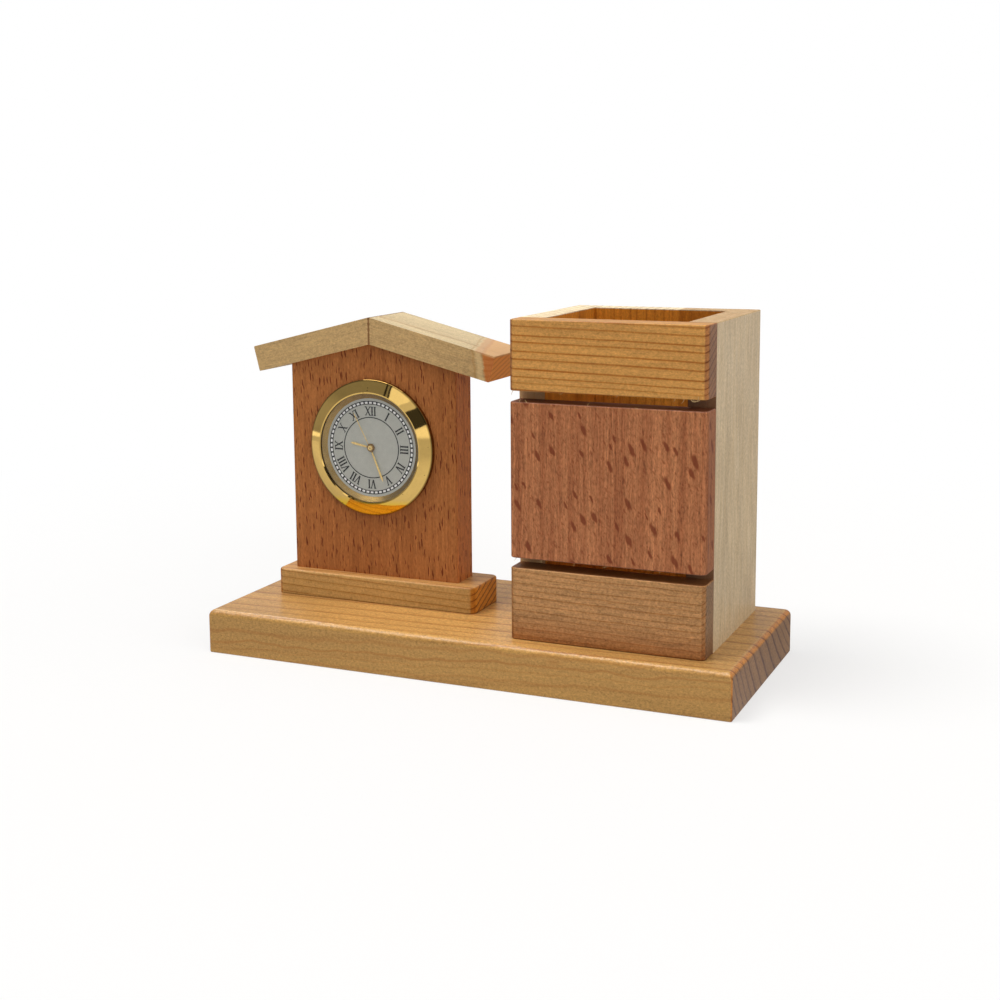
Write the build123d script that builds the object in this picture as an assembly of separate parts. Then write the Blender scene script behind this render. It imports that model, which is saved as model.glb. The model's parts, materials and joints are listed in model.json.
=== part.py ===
from build123d import *
import os
from math import acos, atan2, cos, degrees, hypot, pi, radians, sin, tan

# Desk stand with a pen box and a small house that holds a round push-in clock.
# Millimetres. X runs along the front to the right, Y to the back, Z up.
# The origin is the middle of the base's underside.

# Base board
base_length = 144.2
base_depth = 60.0
base_thickness = 11.8
base_top_round = 1.7
base_corner_round = 0.6
base_bottom_ease = 0.4

# Plinth under the house
plinth_length = 60.2
plinth_depth = 16.2
plinth_height = 7.05
plinth_corner_round = 2.0
plinth_edge_ease = 0.6
plinth_end_margin = 8.2
plinth_front_margin = 22.3

# House board, a gabled board with a round bore for the clock
house_thickness = 9.4
house_apex_height = 63.4
house_end_margin = 4.1
house_inner_margin = 6.3
house_edge_ease = 0.3
roof_pitch = 14.0
bore_diameter = 35.0
clock_height = 35.4

# Roof boards, mitred against each other at the ridge
roof_thickness = 7.0
roof_left_run = 36.0
roof_right_run = 36.7
roof_front_overhang = 1.4
roof_back_overhang = 9.3
roof_edge_ease = 0.3

# Pen box of six boards, with two narrow gaps between its three front boards
box_height = 80.0
box_board = 6.9
box_plinth_gap = 17.15
box_end_margin = 8.45
box_front_margin = 6.2
box_back_margin = 5.1
low_board_height = 18.3
low_gap = 2.5
middle_board_height = 39.0
upper_gap = 2.7
board_arris_round = 1.5
board_ease = 0.35

# Two countersunk wood screws from below, through base and plinth into the house
screw_spacing = 27.0
screw_shank_diameter = 3.0
screw_head_diameter = 5.8
screw_head_height = 1.7
screw_recess_depth = 0.4
screw_length = 31.0
screw_tip_length = 3.5
screw_clearance = 0.05
screw_cross_width = 0.8
screw_cross_length = 3.0
screw_cross_depth = 1.1

# Clock insert: bezel, lens, dial and the moulded case behind them
bezel_diameter = 37.0
bezel_height = 2.55
bezel_edge = 1.25
bezel_edge_ease = 0.08
bezel_swell = 0.03
bezel_opening_radius = 14.9
bezel_lip_height = 0.25
bezel_lip_width = 0.35
bezel_seat_gap = 0.05
skirt_wall = 0.68
skirt_depth = 3.0
lens_thickness = 0.4
lens_overlap = 0.3
lens_clearance = 0.05
dial_rise = 1.0
dial_thickness = 0.4
dial_radius = 15.0
dial_hole_radius = 1.0
dial_visible_radius = 13.44
ring_top_wall = 0.25
case_radius = 16.4
case_back_wall = 0.8
case_side_wall = 1.3
case_ledge = 0.6
case_depth = 8.4
case_edge_round = 0.5
fit_clearance = 0.02
band_gap = 0.2
band_wall = 0.75
band_rib_radius = 0.45
band_back_margin = 0.6
band_clearance = 0.05

# Movement plates
plate_clearance = 0.05
plate_thickness = 0.8
plate_rim_wall = 0.85
bridge_thickness = 0.6
bridge_radius = 9.6
pillar_radius = 0.9
pillar_reach = 8.6
near_pillar_reach = 7.4
bridge_screw_radius = 0.3
bridge_screw_depth = 1.5
bridge_screw_head_radius = 0.7
bridge_screw_head_height = 0.4
bridge_screw_slot = 0.2
bridge_cell_margin = 0.5

# Wheel train: modules, heights and gaps along the axis
face_gap = 0.3
thin_wheel = 0.3
motion_wheel = 0.4
pinion_overlap = 0.05
third_module = 0.18
second_module = 0.25
rotor_module = 0.15
cannon_module = 0.25
hour_module = 0.24
arbor_radius = 0.25
minute_post_radius = 0.5
pivot_clearance = 0.03
wheel_hole_radius = 0.6

# Nested arbors that carry the hands
second_arbor_radius = 0.22
second_tip_radius = 0.15
pipe_clearance = 0.05
centre_pipe_wall = 0.23
centre_pipe_step = 0.08
hour_pipe_wall = 0.29
hour_pipe_step = 0.12
hub_clearance = 0.02

# Hands
hand_thickness = 0.1
hour_hand_height = 0.2
minute_hand_height = 0.42
second_hand_height = 0.64
second_hub_rise = 0.12
hour_hand_length = 6.3
hour_hand_width = 0.62
minute_hand_length = 9.8
minute_hand_width = 0.56
second_hand_length = 10.7
second_hand_width = 0.2
second_tail_length = 2.2
hour_hub_radius = 1.15
minute_hub_radius = 0.95
second_hub_radius = 0.62

# Step motor, circuit and supply
rotor_magnet_radius = 1.3
rotor_magnet_height = 0.6
stator_thickness = 0.5
stator_rotor_gap = 0.35
stator_wall = 0.45
stator_coil_gap = 0.17
stator_end_margin = 0.2
stator_arm = 1.6
stator_notch = 0.35
core_width = 0.8
core_offset = 12.0
coil_radius = 1.3
coil_length = 5.6
bobbin_flange = 0.3
bobbin_flange_rise = 0.2
coil_post_radius = 0.7
coil_screw_radius = 0.3
board_thickness = 0.4
board_width = 3.0
board_height = 10.0
board_edge_reach = 9.7
board_post_radius = 0.6
board_post_inset = 1.0
chip_radius = 1.1
chip_height = 0.5
crystal_radius = 0.7
crystal_length = 4.4
cell_radius = 3.4
cell_thickness = 2.6
cell_reach = 10.6
cell_anode_radius = 2.7
cell_anode_step = 0.25
cell_back_gap = 0.1
contact_thickness = 0.2
contact_width = 1.6
contact_boss_radius = 1.6
contact_height = 1.9

# Battery hatch and setting knob in the case back
hatch_flange_radius = 4.2
hatch_flange_thickness = 0.35
hatch_spigot_radius = 3.7
hatch_clearance = 0.06
hatch_seat_gap = 0.05
hatch_slot_width = 0.9
hatch_slot_depth = 0.2
hatch_cell_gap = 0.3
knob_stem_radius = 0.5
knob_radius = 2.0
knob_thickness = 0.6
knob_gap = 0.3
knob_flute_radius = 0.28

# Tooth numbers of the train
rotor_pinion_teeth = 8
intermediate_teeth = 48
intermediate_pinion_teeth = 8
second_teeth = 40
second_pinion_teeth = 8
third_teeth = 60
third_pinion_teeth = 8
centre_teeth = 64
cannon_teeth = 12
minute_teeth = 36
minute_pinion_teeth = 10
hour_teeth = 40
knob_teeth = 12

# Angles in degrees, counted anticlockwise from three o'clock as seen from the front
third_angle = 90
intermediate_angle = 150
rotor_turn = 240
minute_wheel_angle = -30
knob_turn = -45
cell_angle = 250.7
pillar_angles = (20, -50)
near_pillar_angle = 228

# Angles of the hands in degrees, counted clockwise from twelve o'clock
hour_hand_angle = 281.0
minute_hand_angle = 158.0
second_hand_angle = 332.5

# Proportions
addendum_share = 0.9
dedendum_share = 1.2
backlash_share = 0.14
tip_share = 0.12
cut_overrun = 1.0
pressure_angle = radians(20)
rib_count = 36
wheel_hole_count = 5
knob_flute_count = 16

# Places in the wood
base_left = -base_length / 2
base_front = -base_depth / 2
plinth_left = base_left + plinth_end_margin
plinth_right = plinth_left + plinth_length
plinth_front = base_front + plinth_front_margin
plinth_top = base_thickness + plinth_height
house_left = plinth_left + house_end_margin
house_width = plinth_right - house_inner_margin - house_left
house_middle = house_left + house_width / 2
house_front = plinth_front + (plinth_depth - house_thickness) / 2
house_side_height = house_apex_height - house_width / 2 * tan(radians(roof_pitch))
ridge_height = plinth_top + house_apex_height
roof_front = house_front - roof_front_overhang
roof_depth = roof_front_overhang + house_thickness + roof_back_overhang
box_left = plinth_right + box_plinth_gap
box_right = base_length / 2 - box_end_margin
box_front = base_front + box_front_margin
box_back_face = base_depth / 2 - box_back_margin
box_top = base_thickness + box_height
screw_y = house_front + house_thickness / 2
screw_places = [house_middle - screw_spacing / 2, house_middle + screw_spacing / 2]

# Heights along the clock's axis, counted from the back of the bezel towards the viewer
clock_plane = Plane(
    origin=(house_middle, house_front - bezel_seat_gap, plinth_top + clock_height),
    x_dir=(1, 0, 0),
    z_dir=(0, -1, 0),
)
lens_front = bezel_height - bezel_lip_height
lens_back = lens_front - lens_thickness
dial_front = dial_rise
dial_back = dial_front - dial_thickness
hour_wheel_top = dial_back - face_gap
hour_wheel_bottom = hour_wheel_top - motion_wheel
minute_wheel_top = hour_wheel_bottom - face_gap
minute_wheel_bottom = minute_wheel_top - motion_wheel
plate_top = minute_wheel_bottom - face_gap
plate_bottom = plate_top - plate_thickness
centre_wheel_top = plate_bottom - face_gap
centre_wheel_bottom = centre_wheel_top - thin_wheel
third_wheel_top = centre_wheel_bottom - face_gap
third_wheel_bottom = third_wheel_top - thin_wheel
second_wheel_top = third_wheel_bottom - face_gap
second_wheel_bottom = second_wheel_top - thin_wheel
intermediate_top = second_wheel_bottom - face_gap
intermediate_bottom = intermediate_top - thin_wheel
bridge_top = intermediate_bottom - face_gap - pinion_overlap
bridge_bottom = bridge_top - bridge_thickness
case_back = -case_depth
case_inside = case_back + case_back_wall
hour_hand_low = dial_front + hour_hand_height
minute_hand_low = dial_front + minute_hand_height
second_hand_low = dial_front + second_hand_height

# Places across the clock's axis
second_distance = second_module * (second_teeth + intermediate_pinion_teeth) / 2
third_distance = third_module * (third_teeth + second_pinion_teeth) / 2
centre_module = 2 * third_distance / (centre_teeth + third_pinion_teeth)
rotor_distance = rotor_module * (intermediate_teeth + rotor_pinion_teeth) / 2
minute_distance = cannon_module * (minute_teeth + cannon_teeth) / 2
hour_scale = minute_distance / (hour_module * (hour_teeth + minute_pinion_teeth) / 2)
knob_distance = cannon_module * (minute_teeth + knob_teeth) / 2


def polar(reach, angle, start=(0, 0)):
    """Point at a distance and angle from a start point."""
    return (start[0] + reach * cos(radians(angle)), start[1] + reach * sin(radians(angle)))


centre_place = (0, 0)
third_place = polar(third_distance, third_angle)
intermediate_place = polar(second_distance, intermediate_angle)
rotor_place = polar(rotor_distance, rotor_turn, intermediate_place)
minute_place = polar(minute_distance, minute_wheel_angle)
knob_place = polar(knob_distance, knob_turn, minute_place)
cell_place = polar(cell_reach, cell_angle)
pillar_places = [polar(pillar_reach, angle) for angle in pillar_angles]
pillar_places.append(polar(near_pillar_reach, near_pillar_angle))

# Radii of the nested arbors and of the parts round the case
centre_bore = second_arbor_radius + pipe_clearance
centre_pipe_radius = centre_bore + centre_pipe_wall
hour_bore = centre_pipe_radius + pipe_clearance
hour_pipe_radius = hour_bore + hour_pipe_wall
skirt_inside = case_radius + fit_clearance
plate_radius = case_radius - case_side_wall - plate_clearance
case_bore = case_radius - case_side_wall
case_inner_radius = case_bore - case_ledge
lens_radius = bezel_opening_radius + lens_overlap
stator_top = third_wheel_top + thin_wheel / 2
stator_bottom = stator_top - stator_thickness
core_bottom = stator_bottom - stator_thickness
board_top = plate_bottom - board_thickness
board_bottom = board_top - board_thickness
cell_back = case_inside + cell_back_gap
cell_front = cell_back + cell_thickness
contact_front = cell_front + contact_thickness
coil_reach = coil_length / 2 + bobbin_flange
stator_half = coil_reach + stator_arm


def block(low, high):
    """Box between two opposite corners."""
    size = [b - a for a, b in zip(low, high)]
    middle = [(a + b) / 2 for a, b in zip(low, high)]
    return Pos(*middle) * Box(*size)


def disc(radius, low, high, place=(0, 0)):
    """Round plug along the local Z axis, between two heights."""
    align = (Align.CENTER, Align.CENTER, Align.MIN)
    return Pos(place[0], place[1], low) * Cylinder(radius, high - low, align=align)


def drill(radius, low, high, place=(0, 0)):
    """Cutter for a round hole that runs past both heights."""
    return disc(radius, low - cut_overrun, high + cut_overrun, place)


def turned(points):
    """Solid of revolution round the local Z axis, from (radius, height) points."""
    return revolve(Plane.XZ * make_face(Polyline(*points, close=True)), Axis.Z)


def sheet(points, low, high):
    """Flat piece cut to an outline, between two heights."""
    return Pos(0, 0, low) * extrude(make_face(Polyline(*points, close=True)), high - low)


def write(name, *solids):
    """Write one node, a single solid or a group of like solids."""
    piece = solids[0] if len(solids) == 1 else Compound(children=list(solids))
    piece.label = name
    export_step(piece, f"parts/{name}.step")


def write_clock(name, *solids):
    """Write one node that is drawn in the clock's own plane."""
    write(name, *[clock_plane.location * solid for solid in solids])


# Wood


def base_board():
    low = (base_left, base_front, 0)
    board = block(low, (-base_left, -base_front, base_thickness))
    board = fillet(board.edges().filter_by(Axis.Z), base_corner_round)
    board = fillet(board.faces().sort_by(Axis.Z)[-1].edges(), base_top_round)
    board = fillet(board.faces().sort_by(Axis.Z)[0].edges(), base_bottom_ease)
    for x in screw_places:
        board -= screw_hole(x)
    return board


def clock_plinth():
    high = (plinth_right, plinth_front + plinth_depth, plinth_top)
    board = block((plinth_left, plinth_front, base_thickness), high)
    board = fillet(board.edges().filter_by(Axis.Z), plinth_corner_round)
    board = fillet(board.faces().sort_by(Axis.Z)[-1].edges(), plinth_edge_ease)
    for x in screw_places:
        board -= screw_hole(x)
    return board


def house_board():
    half = house_width / 2
    outline = [
        (-half, 0),
        (half, 0),
        (half, house_side_height),
        (0, house_apex_height),
        (-half, house_side_height),
    ]
    front = Plane(origin=(house_middle, house_front, plinth_top), x_dir=(1, 0, 0), z_dir=(0, -1, 0))
    board = front.location * sheet(outline, -house_thickness, 0)
    board = fillet(board.edges().filter_by(Axis.Z), house_edge_ease)
    board -= clock_plane.location * drill(bore_diameter / 2, -house_thickness, bezel_seat_gap)
    for x in screw_places:
        board -= screw_hole(x)
    return board


def roof_board(side, run):
    """One roof board; side is -1 for the left one and 1 for the right one."""
    slope = radians(roof_pitch)
    rise = roof_thickness / cos(slope)
    end_top = (side * run, rise - run * tan(slope))
    end_low = (end_top[0] - side * roof_thickness * sin(slope), end_top[1] - roof_thickness * cos(slope))
    outline = [(0, 0), (0, rise), end_top, end_low]
    front = Plane(origin=(house_middle, roof_front, ridge_height), x_dir=(1, 0, 0), z_dir=(0, -1, 0))
    board = front.location * sheet(outline, -roof_depth, 0)
    long_edges = board.edges().filter_by(Axis.Y).sort_by(lambda e: side * e.center().X)
    return fillet(long_edges[-2:], roof_edge_ease)


def front_panel(low, high):
    """One of the three front boards: its two upright front edges are well rounded."""
    corner_low = (box_left, box_front, low)
    board = block(corner_low, (box_right, box_front + box_board, high))
    uprights = [e for e in board.edges().filter_by(Axis.Z) if e.center().Y < box_front + box_board / 2]
    board = fillet(uprights, board_arris_round)
    front_edges = board.faces().sort_by(Axis.Y)[0].edges().filter_by(Axis.X)
    return fillet(front_edges, board_ease)


def side_panel(left):
    """Side board; its outer top edge and its back upright are eased."""
    right = left + box_board
    low = (left, box_front + box_board, base_thickness)
    outer = left if left == box_left else right
    board = block(low, (right, box_back_face, box_top))
    picked = []
    for edge in board.edges():
        middle = edge.center()
        if abs(middle.X - outer) > box_board / 2:
            continue
        if middle.Z > box_top - box_board / 2 or middle.Y > box_back_face - box_board / 2:
            picked.append(edge)
    return fillet(picked, board_ease)


def back_panel():
    low = (box_left + box_board, box_back_face - box_board, base_thickness)
    board = block(low, (box_right - box_board, box_back_face, box_top))
    top_back = board.faces().sort_by(Axis.Y)[-1].edges().sort_by(Axis.Z)[-1]
    return fillet(top_back, board_ease)


def screw_profile(growth):
    """Half section of a countersunk screw, (radius, height) from its head face up to its tip."""
    shank = screw_shank_diameter / 2 + growth
    head = screw_head_diameter / 2 + growth
    return [
        (0, 0),
        (head, 0),
        (shank, screw_head_height),
        (shank, screw_length - screw_tip_length),
        (0, screw_length + growth),
    ]


def screw_hole(x):
    """Cutter for one screw: its own shape with clearance, and the sunk mouth below its head."""
    mouth = screw_head_diameter / 2 + screw_clearance
    cutter = Pos(0, 0, screw_recess_depth) * turned(screw_profile(screw_clearance))
    cutter += disc(mouth, -cut_overrun, screw_recess_depth)
    return Pos(x, screw_y, 0) * cutter


def house_screw(x):
    body = turned(screw_profile(0))
    arm = (screw_cross_length, screw_cross_width)
    for length, width in (arm, arm[::-1]):
        low = (-length / 2, -width / 2, -cut_overrun)
        body -= block(low, (length / 2, width / 2, screw_cross_depth))
    return Pos(x, screw_y, screw_recess_depth) * body


# Clock case


def bezel():
    outer = bezel_diameter / 2
    lip_outer = bezel_opening_radius + bezel_lip_width
    skirt_outer = skirt_inside + skirt_wall
    bore = lens_radius + lens_clearance
    ease = (outer, bezel_edge - bezel_edge_ease)
    start = (outer - bezel_edge_ease, bezel_edge)
    end = (lip_outer, bezel_height)
    middle = ((start[0] + end[0]) / 2 + bezel_swell, (start[1] + end[1]) / 2 + bezel_swell)
    face_arc = ThreePointArc(start, middle, end)
    rest = Polyline(
        end,
        (bezel_opening_radius, lens_front + bezel_lip_height / 2),
        (bezel_opening_radius, lens_front),
        (bore, lens_front),
        (bore, 0),
        (skirt_inside, 0),
        (skirt_inside, -skirt_depth),
        (skirt_outer, -skirt_depth),
        (skirt_outer, 0),
        (outer, 0),
        ease,
        start,
    )
    return revolve(Plane.XZ * make_face([face_arc, *rest.edges()]), Axis.Z)


def lens():
    return disc(lens_radius, lens_back, lens_front)


def dial_ring():
    top_inside = dial_radius - ring_top_wall
    return turned(
        [
            (dial_visible_radius, dial_front),
            (dial_radius, dial_front),
            (dial_radius, lens_back),
            (top_inside, lens_back),
        ]
    )


def dial():
    plate = disc(dial_radius, dial_back, dial_front)
    return plate - drill(dial_hole_radius, dial_back, dial_front)


def case_cup():
    cup = turned(
        [
            (0, case_back),
            (case_radius, case_back),
            (case_radius, 0),
            (case_bore, 0),
            (case_bore, plate_bottom),
            (case_inner_radius, plate_bottom),
            (case_inner_radius, case_inside),
            (0, case_inside),
        ]
    )
    back_rim = cup.faces().sort_by(Axis.Z)[0].edges()
    cup = fillet(back_rim, case_edge_round)
    cup -= drill(hatch_spigot_radius + hatch_clearance, case_back, case_inside, cell_place)
    counterbore = case_back + hatch_flange_thickness + hatch_seat_gap
    cup -= disc(hatch_flange_radius + hatch_clearance, case_back - cut_overrun, counterbore, cell_place)
    return cup - drill(knob_stem_radius + pipe_clearance, case_back, case_inside, knob_place)


def grip_band():
    """Ribbed band that grips the wall of the bore."""
    top = -skirt_depth - band_gap
    bottom = case_back + band_back_margin
    inside = case_radius + fit_clearance
    outside = inside + band_wall
    band = disc(outside, bottom, top)
    rib_reach = bore_diameter / 2 - band_clearance - band_rib_radius
    for place in [polar(rib_reach, 360 / rib_count * number) for number in range(rib_count)]:
        band += disc(band_rib_radius, bottom, top, place)
    return band - drill(inside, bottom, top)


def battery_hatch():
    flange_top = case_back + hatch_flange_thickness
    spigot_top = cell_back - hatch_cell_gap
    hatch = disc(hatch_flange_radius, case_back, flange_top, cell_place)
    hatch += disc(hatch_spigot_radius, flange_top, spigot_top, cell_place)
    reach = hatch_spigot_radius
    low = (cell_place[0] - reach, cell_place[1] - hatch_slot_width / 2, case_back - cut_overrun)
    high = (cell_place[0] + reach, cell_place[1] + hatch_slot_width / 2, case_back + hatch_slot_depth)
    return hatch - block(low, high)


# Gears


def involute(radius, base_radius):
    """Involute angle at a radius, in radians."""
    if radius <= base_radius:
        return 0
    angle = acos(base_radius / radius)
    return tan(angle) - angle


def gear(teeth, module, phase, low, high):
    """Spur gear with a tooth centred on the phase angle."""
    pitch = module * teeth / 2
    tip = pitch + addendum_share * module
    root = pitch - dedendum_share * module
    base_radius = pitch * cos(pressure_angle)
    half_tooth = pi / teeth / 2 * (1 - backlash_share)
    radii = [root, max(base_radius, root), (pitch + base_radius) / 2, (pitch + tip) / 2, tip]
    radii = sorted(set(radii))
    points = []
    for number in range(teeth):
        middle = radians(phase) + 2 * pi * number / teeth
        rise = [half_tooth + involute(pitch, base_radius) - involute(r, base_radius) for r in radii]
        flank = list(zip(radii, rise))
        points += [(r * cos(middle - half), r * sin(middle - half)) for r, half in flank]
        points += [(r * cos(middle + half), r * sin(middle + half)) for r, half in reversed(flank)]
    return sheet(points, low, high)


def meshed_phase(teeth, other_teeth, other_phase, place, other_place):
    """Phase of a gear that meshes at rest with another gear of known phase."""
    line = degrees(atan2(place[1] - other_place[1], place[0] - other_place[0]))
    turned_by = other_phase - line
    return line + 180 + 180 / teeth - turned_by * other_teeth / teeth


def lightened(wheel, module, teeth, hub, low, high):
    """The wheel with a ring of round holes between its hub and its rim."""
    rim = module * (teeth / 2 - dedendum_share)
    reach = (hub + rim) / 2
    radius = min(wheel_hole_radius, (rim - hub) / 4)
    for number in range(wheel_hole_count):
        wheel -= drill(radius, low, high, polar(reach, 360 / wheel_hole_count * number))
    return wheel


def placed(shape, place):
    return Pos(place[0], place[1], 0) * shape


second_phase = 0
second_pinion_phase = 0
third_phase = meshed_phase(
    third_teeth, second_pinion_teeth, second_pinion_phase, third_place, centre_place
)
third_pinion_phase = 0
centre_phase = meshed_phase(
    centre_teeth, third_pinion_teeth, third_pinion_phase, centre_place, third_place
)
intermediate_pinion_phase = meshed_phase(
    intermediate_pinion_teeth, second_teeth, second_phase, intermediate_place, centre_place
)
intermediate_phase = 0
rotor_phase = meshed_phase(
    rotor_pinion_teeth, intermediate_teeth, intermediate_phase, rotor_place, intermediate_place
)
cannon_phase = 0
minute_phase = meshed_phase(minute_teeth, cannon_teeth, cannon_phase, minute_place, centre_place)
minute_pinion_phase = 0
hour_phase = meshed_phase(
    hour_teeth, minute_pinion_teeth, minute_pinion_phase, centre_place, minute_place
)
knob_phase = meshed_phase(knob_teeth, minute_teeth, minute_phase, knob_place, minute_place)


def second_wheel():
    """Second wheel, its pinion and the long arbor that carries the second hand."""
    hub = second_module * intermediate_pinion_teeth / 2
    wheel = gear(second_teeth, second_module, second_phase, second_wheel_bottom, second_wheel_top)
    wheel = lightened(wheel, second_module, second_teeth, hub, second_wheel_bottom, second_wheel_top)
    top = third_wheel_top + pinion_overlap
    wheel += gear(second_pinion_teeth, third_module, second_pinion_phase, second_wheel_top, top)
    wheel += disc(second_arbor_radius, bridge_bottom, second_hand_low)
    return wheel + disc(second_tip_radius, second_hand_low, second_hand_low + second_hub_rise)


def third_wheel():
    hub = centre_module * third_pinion_teeth / 2
    wheel = gear(third_teeth, third_module, third_phase, third_wheel_bottom, third_wheel_top)
    wheel = lightened(wheel, third_module, third_teeth, hub, third_wheel_bottom, third_wheel_top)
    top = centre_wheel_top + pinion_overlap
    wheel += gear(third_pinion_teeth, centre_module, third_pinion_phase, third_wheel_top, top)
    return placed(wheel + disc(arbor_radius, bridge_bottom, plate_top), third_place)


def centre_wheel():
    """Centre wheel, cannon pinion and the pipe that carries the minute hand."""
    hub = cannon_module * cannon_teeth / 2
    wheel = gear(centre_teeth, centre_module, centre_phase, centre_wheel_bottom, centre_wheel_top)
    wheel = lightened(wheel, centre_module, centre_teeth, hub, centre_wheel_bottom, centre_wheel_top)
    wheel += gear(cannon_teeth, cannon_module, cannon_phase, minute_wheel_bottom, minute_wheel_top)
    wheel += disc(centre_pipe_radius, centre_wheel_bottom, minute_hand_low)
    tip = centre_pipe_radius - centre_pipe_step
    wheel += disc(tip, minute_hand_low, minute_hand_low + hand_thickness)
    return wheel - drill(centre_bore, centre_wheel_bottom, minute_hand_low)


def hour_wheel():
    """Hour wheel and the outer pipe that carries the hour hand."""
    module = hour_module * hour_scale
    wheel = gear(hour_teeth, module, hour_phase, hour_wheel_bottom, hour_wheel_top)
    wheel = lightened(wheel, module, hour_teeth, hour_pipe_radius, hour_wheel_bottom, hour_wheel_top)
    wheel += disc(hour_pipe_radius, hour_wheel_bottom, hour_hand_low)
    tip = hour_pipe_radius - hour_pipe_step
    wheel += disc(tip, hour_hand_low, hour_hand_low + hand_thickness)
    return wheel - drill(hour_bore, hour_wheel_bottom, hour_hand_low)


def minute_wheel():
    """Minute wheel and its pinion, on a fixed post."""
    module = hour_module * hour_scale
    wheel = gear(minute_teeth, cannon_module, minute_phase, minute_wheel_bottom, minute_wheel_top)
    top = hour_wheel_top
    wheel += gear(minute_pinion_teeth, module, minute_pinion_phase, minute_wheel_top, top)
    hub = module * minute_pinion_teeth / 2
    wheel = lightened(
        wheel, cannon_module, minute_teeth, hub, minute_wheel_bottom, minute_wheel_top
    )
    wheel -= drill(minute_post_radius + pivot_clearance, minute_wheel_bottom, top)
    return placed(wheel, minute_place)


def intermediate_wheel():
    hub = second_module * intermediate_pinion_teeth / 2
    low = intermediate_bottom
    wheel = gear(intermediate_teeth, rotor_module, intermediate_phase, low, intermediate_top)
    wheel = lightened(wheel, rotor_module, intermediate_teeth, hub, low, intermediate_top)
    top = second_wheel_top + pinion_overlap
    teeth = intermediate_pinion_teeth
    wheel += gear(teeth, second_module, intermediate_pinion_phase, intermediate_top, top)
    return placed(wheel + disc(arbor_radius, bridge_bottom, plate_top), intermediate_place)


def rotor_pinion():
    low = intermediate_bottom - pinion_overlap
    magnet_low = stator_top - rotor_magnet_height
    arbor = disc(arbor_radius, bridge_bottom, plate_top)
    pinion = gear(rotor_pinion_teeth, rotor_module, rotor_phase, low, magnet_low)
    return placed(arbor + pinion, rotor_place)


def rotor_magnet():
    low = stator_top - rotor_magnet_height
    magnet = disc(rotor_magnet_radius, low, stator_top)
    return placed(magnet - drill(arbor_radius + hub_clearance, low, stator_top), rotor_place)


# Hands


def hand(length, width, hub_radius, hole_radius, low, clock_angle, tail=0):
    """Tapered flat hand with a round hub, pointing at a clockwise angle from twelve."""
    high = low + hand_thickness
    shoulder = length * (1 - tip_share)
    narrow = width / 3
    outline = [
        (-narrow, -tail),
        (narrow, -tail),
        (width / 2, shoulder),
        (0, length),
        (-width / 2, shoulder),
    ]
    blade = sheet(outline, low, high) + disc(hub_radius, low, high)
    return Rot(0, 0, -clock_angle) * (blade - drill(hole_radius, low, high))


def hour_hand():
    hole = hour_pipe_radius - hour_pipe_step + hub_clearance
    return hand(
        hour_hand_length, hour_hand_width, hour_hub_radius, hole, hour_hand_low, hour_hand_angle
    )


def minute_hand():
    hole = centre_pipe_radius - centre_pipe_step + hub_clearance
    return hand(
        minute_hand_length,
        minute_hand_width,
        minute_hub_radius,
        hole,
        minute_hand_low,
        minute_hand_angle,
    )


def second_hand():
    """Needle with a short tail and a raised round hub."""
    hole = second_tip_radius + hub_clearance
    needle = hand(
        second_hand_length,
        second_hand_width,
        second_hub_radius,
        hole,
        second_hand_low,
        second_hand_angle,
        second_tail_length,
    )
    top = second_hand_low + second_hub_rise
    collar = disc(second_hub_radius, second_hand_low, top)
    return needle + (collar - drill(hole, second_hand_low, top))


# Plates and motor


def main_plate():
    """Plate with the dial rim in front, and posts for the motor, the board and the cell behind."""
    plate = disc(plate_radius, plate_bottom, plate_top)
    rim = disc(plate_radius, plate_top, dial_back)
    plate += rim - drill(plate_radius - plate_rim_wall, plate_top, dial_back)
    plate += disc(minute_post_radius, plate_top, hour_wheel_top, minute_place)
    for place in coil_post_places:
        plate += disc(coil_post_radius, stator_top, plate_bottom, place)
    for place in board_post_places:
        plate += disc(board_post_radius, board_top, plate_bottom, place)
    plate += disc(contact_boss_radius, contact_front, plate_bottom, cell_place)
    for place in coil_post_places:
        plate -= disc(coil_screw_radius + hub_clearance, core_bottom, plate_top - face_gap, place)
    plate -= drill(centre_pipe_radius + pivot_clearance, plate_bottom, plate_top)
    plate -= drill(knob_stem_radius + pivot_clearance, plate_bottom, plate_top, knob_place)
    for place in (third_place, intermediate_place, rotor_place):
        plate -= drill(arbor_radius + pivot_clearance, plate_bottom, plate_top, place)
    return plate


def train_bridge():
    """Back plate of the train on three pillars, cut away round the cell."""
    bridge = disc(bridge_radius, bridge_bottom, bridge_top)
    bridge -= drill(cell_radius + bridge_cell_margin, bridge_bottom, bridge_top, cell_place)
    for place in pillar_places:
        bridge += disc(pillar_radius, bridge_bottom, plate_bottom, place)
        top = bridge_bottom + bridge_screw_depth
        bridge -= disc(bridge_screw_radius + hub_clearance, bridge_bottom, top, place)
    bridge -= drill(second_arbor_radius + pivot_clearance, bridge_bottom, bridge_top)
    for place in (third_place, intermediate_place, rotor_place):
        bridge -= drill(arbor_radius + pivot_clearance, bridge_bottom, bridge_top, place)
    return bridge


def small_screw(place, seat, top):
    """Slotted screw whose head sits behind the seat and whose shank runs forward to the top."""
    head_low = seat - bridge_screw_head_height
    screw = disc(bridge_screw_head_radius, head_low, seat, place)
    screw += disc(bridge_screw_radius, seat, top, place)
    reach = bridge_screw_head_radius
    low = (place[0] - reach, place[1] - bridge_screw_slot / 2, head_low - cut_overrun)
    high = (place[0] + reach, place[1] + bridge_screw_slot / 2, head_low + bridge_screw_slot)
    return screw - block(low, high)


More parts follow.
